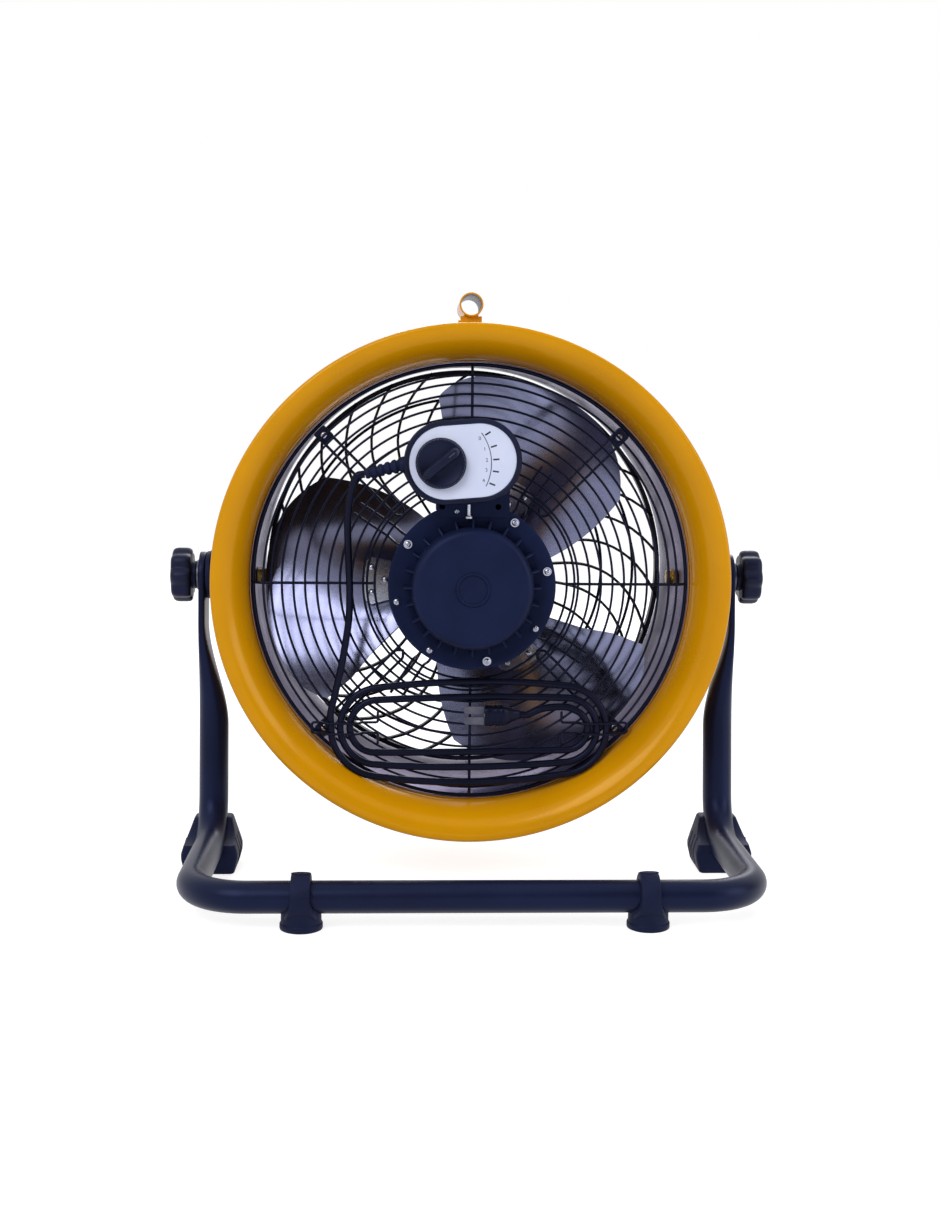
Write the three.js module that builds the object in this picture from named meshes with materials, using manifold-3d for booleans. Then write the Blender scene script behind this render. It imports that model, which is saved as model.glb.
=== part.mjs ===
// Drum fan on a bent-tube floor stand, seen from its intake side.
// Millimetres. +X is right and +Z is up for someone facing the intake; the air leaves towards +Y.
// Every size below is first given about the drum: y = 0 is the plane where the intake guard's rim sits,
// and x = z = 0 is the drum's axis. The last lines lift the whole fan so that it stands on z = 0.

import * as THREE from 'three';
import { mergeVertices } from 'three/addons/utils/BufferGeometryUtils.js';
import Module from 'manifold-3d';

const wasm = await Module();
wasm.setup();

// ---------------------------------------------------------------- driving dimensions

const SEAT_GAP = 0.3;              // what is left between two pieces that touch
const ROUND_SIDES = 32;            // sides of the drum and its rims
const AXIS_HEIGHT = 250;           // drum axis above the floor

const drum = {
  innerRadius: 183,                // inside of the rolled barrel
  sheet: 1.2,                      // sheet thickness of barrel and rims
  length: 156,                     // barrel, from the intake end to the outlet end
  pivotDepth: 62,                  // tilt axis behind the intake plane
};

const bell = {                     // flared yellow intake ring
  lipRadius: 213.4,                // outside of the rolled edge
  reach: 36,                       // how far the edge stands out in front of the barrel
  beadRadius: 3,                   // rolled edge
  collar: 14,                      // overlap on the outside of the barrel
  arcSteps: 5,
};

const outletRim = { lipRadius: 192, reach: 6, beadRadius: 2.6, collar: 14, arcSteps: 3 };

const handle = {                   // carrying tube on top of the drum
  tubeRadius: 10, wall: 1.4, length: 72, axisRadius: 231.5,
  tabWidth: 18, tabThickness: 2, tabInset: 7, footLength: 13,
};

const guard = {                    // welded wire guard over the intake
  rimWire: 3.2, rimGap: 0.4,       // the rim lies just inside the barrel
  ringWire: 2.0, spokeWire: 2.4,
  standOff: 9,                     // rings in front of the rim
  outerRings: [172, 165.5],
  pitchedFrom: 156.7, ringPitch: 9.6, pitchedRings: 8,
  innerRing: 80, innerPairGap: 6.4,
  smallBelow: 120, largeSides: 30, smallSides: 22,
  doubleSpokeGap: 9,
  lugWidth: 12, lugLength: 13, lugThickness: 1.6,
  loopGap: 10, loopStart: 110.5,
};

const grille = {                   // outlet grille of deep curved ribs
  depthAt: 142, rimRadius: 180.6, rimThickness: 4,
  ribThickness: 2.4, ribDepth: 11, ribCount: 30,
  ringRadii: [155, 126], ringThickness: 2.6, ringDepth: 3,
  discRadius: 46, discThickness: 3, ribFoot: 42,
  straightRadius: 90, sweep: 0.00286,      // degrees of lag for each square millimetre past the straight part
  firstAngle: 135,
};

const motor = {
  cupRadius: 49.5, cupBack: -59, cupRound: 7,
  bossRadius: 14, bossHeight: 1.6,
  finCount: 24, finRadius: 56, finBack: -50, finThickness: 2.2,
  flangeRadius: 68.7, flangeBack: -33, flangeThickness: 3,
  shellRadius: 55, shellFront: 20, noseRadius: 26, noseFront: 28, wall: 2.2,
  coreRadius: 47, coreLength: 30, coreCentre: -19, boreRadius: 27.5, rotorGap: 0.6,
  windingRadius: 38, windingTube: 6, windingSides: 16, sides: 24,
  shaftRadius: 6, shaftBack: -50, shaftFront: 72, shaftSides: 14,
  bearingRadius: 14, bearingWidth: 9, runningGap: 0.05,
  screwCircle: 64, screwAngle: 11.7,
};

const wheel = {                    // three pressed blades riveted to a spider
  bladeCount: 3, firstAngle: 62, tipRadius: 175, rootRadius: 44, centreDepth: 52,
  tipHalfSpan: 35, waistHalfSpan: 27, waistRadius: 66,
  slope: 1.2, slopeStart: 18, slopeLength: 32,   // twist, millimetres of depth for each degree of sweep
  camber: 5, cornerCut: 17, sheet: 1.5,
  armSheet: 2.4, armReach: 92, armHalfSpan: 13, armRoot: 20,
  hubRadius: 17, hubLength: 22, discRadius: 30, discThickness: 4.4,
  nutRadius: 9, nutHeight: 6,
};

const box = {                      // speed switch box over the motor
  width: 94, height: 67, roll: 4.6, centreX: -9.2, centreZ: 102.5,
  back: -35.1, front: -66, wall: 2, rim: 4, plateThickness: 1.6,
};
const speed = { radius: 20.2, offset: -17.5, height: 8, gripHeight: 9, gripWidth: 9,
  gripAngle: 39.7, shaftRadius: 3 };

const stand = {
  tubeRadius: 12.5, sides: 12,
  legX: 220, railY: -150, heelY: 36, cornerRadius: 46, heelRadius: 42, bendSteps: 5,
  floorClear: 12,                  // tube underside above the floor
  earX: 229.5, earThickness: 6, earWidth: 38, earTop: 20, earBase: -40, roundBelow: -130,
};

const barFoot = { x: 132.5, collarWidth: 15, collarWall: 6, baseRadius: 16.5, stepRadius: 14, stepHeight: 5 };
const heelFoot = { width: 48, topWidth: 32, soleWidth: 42, length: 50, near: 0, height: 42, waist: 12 };

const clamp = {                    // one on each side, from the drum outwards
  bracketWidth: 44, bracketSheet: 2.5, bracketFoot: 14, bracketTopWidth: 40,
  discRadius: 20.5, discThickness: 4, washerRadius: 13, washerThickness: 2,
  knobRadius: 23.5, knobThickness: 17, knobLobes: 8, knobWaist: 21.2, knobHub: 12, knobHubLength: 4,
  studRadius: 4, nutPlateLength: 26, nutPlateHeight: 12, nutPlateThickness: 3,
};

const cord = {
  radius: 3,
  loopSteps: 24, loopSides: 6, loops: 2.67,
  centreX: 1.2, centreZ: -121, halfWidth: 117.5, halfHeight: 46,
  widthPitch: 8, heightPitch: 13, foldRadius: 18, foldShare: 0.8,
  tailRun: 12, tailDrop: 5,        // last bend of the hank, down into the plug
};
const hook = { wire: 2.2, armGap: 9, inner: 77, raisedFrom: 94, raisedTo: 121, outer: 132, horn: 13 };
const plug = { length: 30, width: 17, thickness: 15, pinLength: 17, pinWidth: 6.3, pinThickness: 1.5, pinGap: 9 };
const relief = { length: 34, rootRadius: 6.4, tipRadius: 4.3, ribs: 5, ribHeight: 1, sides: 8 };

// ---------------------------------------------------------------- finishes

const finish = (color, roughness, metalness = 0) => new THREE.MeshStandardMaterial({ color, roughness, metalness });
const YELLOW = finish('#d9a005', 0.35, 0.1);
const BARE_SHEET = finish('#8f8e9e', 0.3, 0.8);
const BLACK_COAT = finish('#1d2230', 0.45, 0.2);
const BLACK_WIRE = finish('#191c26', 0.4, 0.3);
const BLACK_PLASTIC = finish('#171a22', 0.5);
const ALUMINIUM = finish('#c3c6d2', 0.22, 0.95);
const STEEL = finish('#b4b6bd', 0.3, 0.9);
const COPPER = finish('#a8623a', 0.4, 0.8);
const LAMINATION = finish('#6a6c74', 0.5, 0.6);
const PALE_PLATE = finish('#e3e6f4', 0.4);
const RUBBER = finish('#1b1d26', 0.8);
const CORD_BLACK = finish('#14151b', 0.6);

// ---------------------------------------------------------------- small geometry tools

const { PI, sin, cos, tan, atan, abs, sqrt, max, min, round, exp } = Math;
const rad = THREE.MathUtils.degToRad;
const lerp = THREE.MathUtils.lerp;
const V3 = (x, y, z) => new THREE.Vector3(x, y, z);

const fan = new THREE.Group();
const place = (name, geometry, material, parent = fan) => {
  const piece = new THREE.Mesh(geometry, material);
  piece.name = name;
  parent.add(piece);
  return piece;
};

// A closed three.js geometry as a solid that can be joined and cut.
function solid(geometry) {
  const bare = geometry.clone();
  bare.deleteAttribute('normal');
  bare.deleteAttribute('uv');
  const merged = mergeVertices(bare, 1e-3);
  return new wasm.Manifold(new wasm.Mesh({
    numProp: 3,
    vertProperties: new Float32Array(merged.attributes.position.array),
    triVerts: new Uint32Array(merged.index.array),
  }));
}

function geometryOf(body) {
  const { vertProperties, triVerts } = body.getMesh();
  const geometry = new THREE.BufferGeometry();
  geometry.setAttribute('position', new THREE.BufferAttribute(new Float32Array(vertProperties), 3));
  geometry.setIndex(new THREE.BufferAttribute(new Uint32Array(triVerts), 1));
  geometry.computeVertexNormals();
  return geometry;
}

const join = (geometries) => geometryOf(geometries.map(solid).reduce((a, b) => a.add(b)));
const cut = (geometry, tools) => geometryOf(tools.map(solid).reduce((a, b) => a.subtract(b), solid(geometry)));

// Round piece about the drum's axis, from [radius, depth] pairs.
function turned(profile, sides = ROUND_SIDES) {
  const points = profile.map(([radius, depth]) => new THREE.Vector2(radius, depth));
  return outward(new THREE.LatheGeometry(points, sides));
}

const closed = (profile) => [...profile, profile[0]];

// Wires are modelled with four flat sides and the cross-section area of the round wire.
const FLAT = sqrt(PI) / 4;         // half the side of that square, for a wire one millimetre thick
const wireCorner = (wire) => wire * FLAT * sqrt(2);

// Ring of wire about the drum's axis; its section has `sides` corners.
function wireRing(radius, depth, corner, segments, sides = 4) {
  const section = Array.from({ length: sides }, (_, i) => {
    const angle = 2 * PI * (i + 0.5) / sides;
    return [radius + corner * cos(angle), depth + corner * sin(angle)];
  });
  return turned(closed(section), segments);
}

// Solid through a row of rings that have equally many points, with flat ends.
function loft(rings) {
  const count = rings[0].length;
  const position = rings.flat().flatMap((p) => [p.x, p.y, p.z]);
  const index = [];
  for (let r = 0; r + 1 < rings.length; r++) {
    for (let i = 0; i < count; i++) {
      const a = r * count + i;
      const b = r * count + (i + 1) % count;
      index.push(a, b, b + count, a, b + count, a + count);
    }
  }
  const last = (rings.length - 1) * count;
  for (let i = 1; i + 1 < count; i++) {
    index.push(0, i + 1, i, last, last + i, last + i + 1);
  }
  const geometry = new THREE.BufferGeometry();
  geometry.setAttribute('position', new THREE.Float32BufferAttribute(position, 3));
  geometry.setIndex(index);
  return outward(geometry);
}

// Rod of round section through a row of points, with mitred bends.
function rod(points, radius, sides = 6) {
  const steps = points.map((p, i) => V3().subVectors(points[min(i + 1, points.length - 1)], p).normalize());
  steps[points.length - 1] = steps[points.length - 2].clone();
  const across = abs(steps[0].z) > 0.9 ? V3(1, 0, 0) : V3(0, 0, 1);
  let side = V3().crossVectors(steps[0], across).normalize();
  const rings = points.map((p, i) => {
    const before = steps[max(i - 1, 0)];
    const along = before.clone().add(steps[i]).normalize();
    side = side.clone().addScaledVector(along, -side.dot(along)).normalize();
    const up = V3().crossVectors(along, side);
    return Array.from({ length: sides }, (_, k) => {
      const angle = 2 * PI * (k + 0.5) / sides;
      return p.clone().addScaledVector(side, radius * cos(angle)).addScaledVector(up, radius * sin(angle));
    });
  });
  return loft(rings);
}

// Points of a bend of the given radius at `corner`, between the directions of its two neighbours.
function bend(from, corner, to, radius, steps) {
  const back = V3().subVectors(from, corner).normalize();
  const ahead = V3().subVectors(to, corner).normalize();
  const half = back.angleTo(ahead) / 2;
  const centre = corner.clone().addScaledVector(back.clone().add(ahead).normalize(), radius / sin(half));
  const start = corner.clone().addScaledVector(back, radius / tan(half)).sub(centre);
  const turn = PI - 2 * half;
  const normal = V3().crossVectors(ahead, back).normalize();
  return Array.from({ length: steps + 1 }, (_, i) => start.clone().applyAxisAngle(normal, turn * i / steps)
    .add(centre));
}

// Cylinder from one point to another.
function bar(from, to, radius, sides = 12) {
  const along = V3().subVectors(to, from);
  const geometry = new THREE.CylinderGeometry(radius, radius, along.length(), sides);
  geometry.applyQuaternion(new THREE.Quaternion().setFromUnitVectors(V3(0, 1, 0), along.clone().normalize()));
  return geometry.translate(...V3().addVectors(from, to).multiplyScalar(0.5));
}

const block = (x, y, z, at) => new THREE.BoxGeometry(x, y, z).translate(at.x, at.y, at.z);
const turnY = (geometry, degrees) => geometry.rotateY(-rad(degrees));   // counter-clockwise seen from the intake

// Turns the faces of a closed geometry outwards, whichever way its outline was drawn.
function outward(geometry) {
  const p = geometry.attributes.position;
  const index = geometry.index.array;
  let volume = 0;
  for (let i = 0; i < index.length; i += 3) {
    const [a, b, c] = [0, 1, 2].map((k) => V3().fromBufferAttribute(p, index[i + k]));
    volume += a.dot(b.cross(c));
  }
  if (volume < 0) {
    for (let i = 0; i < index.length; i += 3) [index[i], index[i + 1]] = [index[i + 1], index[i]];
  }
  return geometry;
}

// Flat outline in the plane facing the intake (x, z), thickened from `back` to `front` (both depths).
function plate(shape, nearDepth, farDepth, curveSegments = 12) {
  const options = { depth: farDepth - nearDepth, bevelEnabled: false, curveSegments };
  return new THREE.ExtrudeGeometry(shape, options).rotateX(PI / 2).translate(0, farDepth, 0);
}

// Outline from [x, z] pairs.
const outline = (pairs) => new THREE.Shape(pairs.map(([x, z]) => new THREE.Vector2(x, z)));

// Oblong with round ends.
function oblong(width, height) {
  const shape = new THREE.Shape();
  const run = (width - height) / 2;
  shape.absarc(run, 0, height / 2, -PI / 2, PI / 2);
  shape.absarc(-run, 0, height / 2, PI / 2, 1.5 * PI);
  return shape;
}

// Solid cylinder along the drum's axis direction, centred on (x, z).
function pin(radius, nearDepth, farDepth, sides = 20, x = 0, z = 0) {
  return turned([[0, nearDepth], [radius, nearDepth], [radius, farDepth], [0, farDepth]], sides).translate(x, 0, z);
}

const polar = (radius, degrees, depth = 0) => V3(radius * cos(rad(degrees)), depth, radius * sin(rad(degrees)));
const SIDES_OF_DRUM = [['left', -1], ['right', 1]];

// ---------------------------------------------------------------- drum: barrel, bell, outlet rim, handle

const barrelOuter = drum.innerRadius + drum.sheet;
const drumFilling = (depthFrom, depthTo, clearance = 0) =>
  turned([[0, depthFrom], [barrelOuter + clearance, depthFrom], [barrelOuter + clearance, depthTo], [0, depthTo]]);

function makeBarrel() {
  const shell = turned(closed([
    [drum.innerRadius, 0], [barrelOuter, 0], [barrelOuter, drum.length], [drum.innerRadius, drum.length],
  ]));
  const studHoles = bar(V3(-2 * barrelOuter, drum.pivotDepth, 0), V3(2 * barrelOuter, drum.pivotDepth, 0),
    clamp.studRadius + SEAT_GAP, 12);
  place('drum_barrel', cut(shell, [studHoles]), BARE_SHEET);
}

// Rim that grips the outside of the barrel and flares outwards to a rolled edge.
// `end` is the barrel's end and `facing` is -1 for the intake or +1 for the outlet.
function flaredRim(end, facing, { lipRadius, reach, beadRadius, collar, arcSteps }) {
  const inner = barrelOuter + SEAT_GAP;
  const outer = inner + drum.sheet;
  const beadCentre = [lipRadius - beadRadius, reach - beadRadius];
  const flareEnd = beadCentre[0];
  const profile = [[inner, -collar]];
  for (let i = 0; i <= arcSteps; i++) {
    const angle = PI / 2 * i / arcSteps;
    profile.push([flareEnd - (flareEnd - inner) * cos(angle), reach * sin(angle)]);
  }
  const beadSteps = arcSteps - 1;
  for (let i = 1; i <= beadSteps; i++) {
    const angle = PI / 2 - PI * 1.15 * i / beadSteps;
    profile.push([beadCentre[0] + beadRadius * cos(angle), beadCentre[1] + beadRadius * sin(angle)]);
  }
  const backSteps = max(1, arcSteps - 3);
  for (let i = 0; i <= backSteps; i++) {
    const angle = rad(lerp(66, 0, i / backSteps));
    profile.push([flareEnd - (flareEnd - outer) * cos(angle), (reach - drum.sheet) * sin(angle)]);
  }
  profile.push([outer, -collar]);
  return turned(closed(profile.map(([radius, out]) => [radius, end + facing * out])));
}

function makeRims() {
  place('intake_bell', flaredRim(0, -1, bell), YELLOW);
  place('outlet_rim', flaredRim(drum.length, 1, outletRim), YELLOW);
}

function makeHandle() {
  const near = drum.pivotDepth - handle.length / 2;
  const far = near + handle.length;
  const tube = turned(closed([
    [handle.tubeRadius - handle.wall, near], [handle.tubeRadius, near],
    [handle.tubeRadius, far], [handle.tubeRadius - handle.wall, far],
  ]), 20).translate(0, 0, handle.axisRadius);
  const tabTop = handle.axisRadius - handle.tubeRadius + handle.wall / 2;
  const pieces = [tube];
  for (const end of [-1, 1]) {
    const depth = drum.pivotDepth + end * (handle.length / 2 - handle.tabInset);
    const foot = depth - end * handle.footLength / 2;
    const base = drum.innerRadius;
    pieces.push(block(handle.tabWidth, handle.tabThickness, tabTop - base, V3(0, depth, (tabTop + base) / 2)));
    const footTop = barrelOuter + SEAT_GAP + handle.tabThickness;
    pieces.push(block(handle.tabWidth, handle.footLength, footTop - base, V3(0, foot, (footTop + base) / 2)));
  }
  const seat = drumFilling(0, drum.length, SEAT_GAP);
  place('carry_handle', cut(join(pieces), [seat]), YELLOW);
}

// ---------------------------------------------------------------- intake guard and cord hooks

const guardRim = drum.innerRadius - guard.rimGap - FLAT * guard.rimWire;
const guardRings = [...guard.outerRings];
for (let i = 0; i < guard.pitchedRings; i++) guardRings.push(guard.pitchedFrom - guard.ringPitch * i);
guardRings.push(guard.innerRing + guard.innerPairGap, guard.innerRing);
const guardFace = -guard.standOff;
const weld = 0.3;                                         // how far crossing wires sink into each other
const spokeDepth = guardFace + FLAT * (guard.ringWire + guard.spokeWire) - weld;
const stayDepth = guardFace + FLAT * (guard.ringWire + guard.spokeWire) + SEAT_GAP;
const screwAngles = Array.from({ length: 8 }, (_, i) => motor.screwAngle + 45 * i);
const loopAngles = screwAngles.filter((_, i) => i % 2 === 1);
const flangeFront = motor.flangeBack + motor.flangeThickness;

// Straight spoke from the rim to the inner ring; it steps forward from the rim to the face of the guard.
function spoke(degrees) {
  const line = [V3(guardRim, 0, 0), V3(guardRings[0] + 4, spokeDepth, 0),
    V3(guard.innerRing - guard.spokeWire / 2, spokeDepth, 0)];
  return turnY(rod(line, wireCorner(guard.spokeWire), 4), degrees);
}

// Long hairpin laid behind the rings, with the flat lug that screws it to the drum.
function guardStay() {
  const half = guard.doubleSpokeGap / 2;
  const line = [[guardRim - 6, stayDepth + 1, half], [guard.innerRing + 4, stayDepth, half],
    [guard.innerRing, stayDepth, half - 4], [guard.innerRing, stayDepth, 4 - half],
    [guard.innerRing + 4, stayDepth, -half], [guardRim - 6, stayDepth + 1, -half]];
  const hairpin = rod(line.map((at) => V3(...at)), wireCorner(guard.spokeWire), 4);
  const lugTo = guardRim - guard.rimWire / 2 - SEAT_GAP;
  const lugCentre = V3(lugTo - guard.lugLength / 2, stayDepth + 1 + FLAT * guard.spokeWire, 0);
  return join([hairpin, block(guard.lugLength, guard.lugThickness, guard.lugWidth, lugCentre)]);
}

// Short hairpin that carries the motor's flange at one of its screws. It runs behind the rings
// and bends forward inside the innermost one.
function motorLoop() {
  const behind = flangeFront + SEAT_GAP + FLAT * guard.spokeWire;
  const half = guard.loopGap / 2;
  const inside = guard.innerRing - guard.ringWire - guard.spokeWire;
  const arm = [[guard.loopStart + 3, stayDepth], [inside + 1, stayDepth], [inside - 1, stayDepth - 2],
    [inside - 3, behind + 2], [inside - 5, behind], [motor.screwCircle, behind]];
  const turnSteps = 4;
  const points = arm.map(([radius, depth]) => V3(radius, depth, half));
  for (let i = 1; i < turnSteps; i++) {
    const angle = PI / 2 + PI * i / turnSteps;
    points.push(V3(motor.screwCircle + half * cos(angle), behind, half * sin(angle)));
  }
  points.push(...arm.toReversed().map(([radius, depth]) => V3(radius, depth, -half)));
  return rod(points, wireCorner(guard.spokeWire), 4);
}

function makeIntakeGuard() {
  const wires = [wireRing(guardRim, 0, wireCorner(guard.rimWire), ROUND_SIDES)];
  for (const radius of guardRings) {
    const sides = radius < guard.smallBelow ? guard.smallSides : guard.largeSides;
    wires.push(wireRing(radius, guardFace, wireCorner(guard.ringWire), sides));
  }
  for (let quarter = 0; quarter < 4; quarter++) wires.push(spoke(90 * quarter));
  place('intake_guard', join(wires), BLACK_WIRE);

  for (let quarter = 0; quarter < 4; quarter++) {
    place(`guard_stay_${quarter + 1}`, turnY(guardStay(), 90 * quarter + 45), BLACK_WIRE);
    place(`motor_loop_${quarter + 1}`, turnY(motorLoop(), loopAngles[quarter]), BLACK_WIRE);
  }
}

const cordDepth = guardFace - guard.ringWire / 2 - SEAT_GAP - cord.radius;

function makeCordHooks() {
  const low = guardFace - guard.ringWire / 2 - SEAT_GAP - hook.wire / 2;
  const high = cordDepth - cord.radius - SEAT_GAP - hook.wire / 2;
  const arm = hook.armGap / 2;
  const upper = [
    [hook.inner, low, hook.horn], [hook.inner, low, arm + 2], [hook.inner + 2, low, arm],
    [hook.raisedFrom - 4, low, arm], [hook.raisedFrom, high, arm], [hook.raisedTo, high, arm],
    [hook.raisedTo + 4, low, arm], [hook.outer - 3, low, arm], [hook.outer, low, arm - 3],
  ];
  const path = [...upper, ...upper.toReversed().map(([x, depth, z]) => [x, depth, -z])];
  for (const [name, side] of SIDES_OF_DRUM) {
    const points = path.map(([x, depth, z]) => V3(side * x, depth, cord.centreZ + z));
    place(`cord_hook_${name}`, rod(points, hook.wire / 2, 5), BLACK_WIRE);
  }
}

// ---------------------------------------------------------------- outlet grille

// Curved rib: a flat strip on edge whose line lags behind the radius towards the rim.
function rib(degrees) {
  const steps = 4;
  const near = grille.depthAt;
  const far = near + grille.ribDepth;
  const half = grille.ribThickness / 2;
  const lag = (radius) => degrees - grille.sweep * max(0, radius - grille.straightRadius) ** 2;
  const rings = Array.from({ length: steps + 1 }, (_, i) => {
    const radius = lerp(grille.ribFoot, grille.rimRadius, i / steps);
    const centre = polar(radius, lag(radius));
    const along = polar(radius + 1, lag(radius + 1)).sub(centre).normalize();
    const across = V3(-along.z, 0, along.x).multiplyScalar(half);
    const taper = i === steps ? 0.6 : 1;
    return [[1, near], [1, lerp(near, far, taper)], [-1, lerp(near, far, taper)], [-1, near]].map(([side, depth]) =>
      centre.clone().addScaledVector(across, side).setY(depth));
  });
  return loft(rings);
}

function makeOutletGrille() {
  const near = grille.depthAt;
  const parts = [turned(closed([
    [grille.rimRadius - grille.rimThickness, near], [grille.rimRadius, near],
    [grille.rimRadius, near + grille.ribDepth], [grille.rimRadius - grille.rimThickness, near + grille.ribDepth],
  ]), grille.ribCount)];
  parts.push(turned([[0, near], [grille.discRadius, near], [grille.discRadius, near + grille.ribDepth],
    [grille.discRadius - grille.discThickness, near + grille.ribDepth + 1.5], [0, near + grille.ribDepth + 1.5]],
    grille.ribCount));
  for (let i = 0; i < grille.ribCount; i++) parts.push(rib(grille.firstAngle + 360 * i / grille.ribCount));
  place('outlet_grille', join(parts), BLACK_PLASTIC);

  const seat = near - SEAT_GAP;
  const half = grille.ringThickness / 2;
  grille.ringRadii.forEach((radius, i) => {
    const hoop = turned(closed([[radius - half, seat - grille.ringDepth], [radius + half, seat - grille.ringDepth],
      [radius + half, seat], [radius - half, seat]]), grille.ribCount);
    place(`grille_hoop_${i + 1}`, hoop, BLACK_WIRE);
  });
}

// ---------------------------------------------------------------- motor

const cupMouth = motor.flangeBack - SEAT_GAP;
const shellBack = flangeFront + SEAT_GAP;
const coreSeat = motor.coreRadius;
const rotorRadius = motor.boreRadius - motor.rotorGap;
const bearingBore = motor.shaftRadius / cos(PI / motor.shaftSides) + motor.runningGap;   // clears the shaft's corners
const backBearing = [motor.cupBack + 4, motor.cupBack + 4 + motor.bearingWidth];
const frontBearing = [motor.noseFront - 3 - motor.bearingWidth, motor.noseFront - 3];
const coreSpan = [motor.coreCentre - motor.coreLength / 2, motor.coreCentre + motor.coreLength / 2];

function makeMotorCover() {
  const { cupRadius, cupBack, cupRound, wall, bossRadius, bossHeight } = motor;
  const inner = coreSeat + SEAT_GAP;
  const profile = [[0, cupBack - bossHeight], [bossRadius - 1, cupBack - bossHeight], [bossRadius, cupBack]];
  const roundSteps = 3;
  for (let i = 0; i <= roundSteps; i++) {
    const angle = PI / 2 * i / roundSteps;
    profile.push([cupRadius - cupRound + cupRound * sin(angle), cupBack + cupRound - cupRound * cos(angle)]);
  }
  const seat = motor.bearingRadius + SEAT_GAP;
  profile.push([cupRadius, cupMouth], [inner, cupMouth], [inner, cupBack + cupRound], [inner - 4, cupBack + wall + 1],
    [seat + 3, backBearing[1]], [seat, backBearing[1]], [seat, backBearing[0] - SEAT_GAP], [0, backBearing[0] - SEAT_GAP]);
  const cup = turned(profile, motor.sides);
  const fins = Array.from({ length: motor.finCount }, (_, i) => {
    const from = cupRadius - 1;
    const centre = V3((from + motor.finRadius) / 2, (motor.finBack + cupMouth) / 2, 0);
    const fin = block(motor.finRadius - from, cupMouth - motor.finBack, motor.finThickness, centre);
    return turnY(fin, 360 * i / motor.finCount);
  });
  place('motor_rear_cover', join([cup, ...fins]), BLACK_COAT);
}

function makeMotorFlange() {
  const ring = turned(closed([
    [coreSeat + SEAT_GAP, motor.flangeBack], [motor.flangeRadius, motor.flangeBack],
    [motor.flangeRadius, flangeFront], [coreSeat + SEAT_GAP, flangeFront]]), 32);
  place('motor_flange', ring, BLACK_COAT);
}

function makeMotorFrontShell() {
  const { shellRadius, shellFront, noseRadius, noseFront, wall } = motor;
  const inner = coreSeat + SEAT_GAP;
  const seat = motor.bearingRadius + SEAT_GAP;
  place('motor_front_shell', turned(closed([
    [inner, shellBack], [shellRadius - 1, shellBack], [shellRadius, shellBack + 1], [shellRadius, shellFront - 8],
    [shellRadius - 8, shellFront], [noseRadius, shellFront], [noseRadius - 2, noseFront],
    [bearingBore + 2, noseFront], [bearingBore + 2, frontBearing[1] + SEAT_GAP], [seat, frontBearing[1] + SEAT_GAP],
    [seat, shellFront - wall], [inner - 4, shellFront - wall], [inner, shellFront - wall - 5],
  ]), motor.sides), BLACK_COAT);
}

function makeMotorInside() {
  const ring = (inner, outer, from, to, sides = motor.sides) => turned(closed([[inner, from], [outer, from], [outer, to],
    [inner, to]]), sides);
  place('stator_core', ring(motor.boreRadius, coreSeat, ...coreSpan), LAMINATION);
  for (const [name, end, out] of [['rear', coreSpan[0], -1], ['front', coreSpan[1], 1]]) {
    const depth = end + out * (SEAT_GAP + motor.windingTube);
    const winding = wireRing(motor.windingRadius, depth, motor.windingTube, motor.windingSides, 6);
    place(`stator_winding_${name}`, winding, COPPER);
  }
  place('rotor_core', ring(motor.shaftRadius + SEAT_GAP, rotorRadius, ...coreSpan, 28), LAMINATION);
  place('bearing_rear', ring(bearingBore, motor.bearingRadius, ...backBearing, motor.shaftSides), STEEL);
  place('bearing_front', ring(bearingBore, motor.bearingRadius, ...frontBearing, motor.shaftSides), STEEL);
  place('motor_shaft', pin(motor.shaftRadius, motor.shaftBack, motor.shaftFront, motor.shaftSides), STEEL);
}

// ---------------------------------------------------------------- fan wheel

// Half of the angle that a blade covers at a radius, in degrees.
function bladeHalfSpan(radius) {
  const beyond = max(0, (radius - wheel.waistRadius) / (wheel.tipRadius - wheel.waistRadius));
  return lerp(wheel.waistHalfSpan, wheel.tipHalfSpan, beyond);
}

// How deep a blade lies at a radius and an angle from its middle, before its own thickness.
function bladeDepth(radius, degrees) {
  const slope = wheel.slope * (1 - exp(-(radius - wheel.slopeStart) / wheel.slopeLength));
  const across = degrees / bladeHalfSpan(radius);
  return wheel.centreDepth - slope * degrees + wheel.camber * (across * across - 0.33);
}

// Twisted sheet between two radii, `halfSpan` degrees to each side; `offset` moves it along the axis.
function bladeSheet({ from, to, halfSpan, sheet, offset = 0, cornerCut = 0, radiusSteps, angleSteps }) {
  const sections = [];
  for (let i = 0; i <= angleSteps; i++) {
    const across = lerp(-1, 1, i / angleSteps);
    const tip = to - cornerCut * abs(across) ** 5;
    const top = [];
    for (let k = 0; k <= radiusSteps; k++) {
      const radius = lerp(from, tip, k / radiusSteps);
      const degrees = across * halfSpan(radius);
      top.push(polar(radius, degrees, bladeDepth(radius, degrees) + offset));
    }
    sections.push([...top, ...top.toReversed().map((p) => p.clone().setY(p.y + sheet))]);
  }
  return loft(sections);
}

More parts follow.
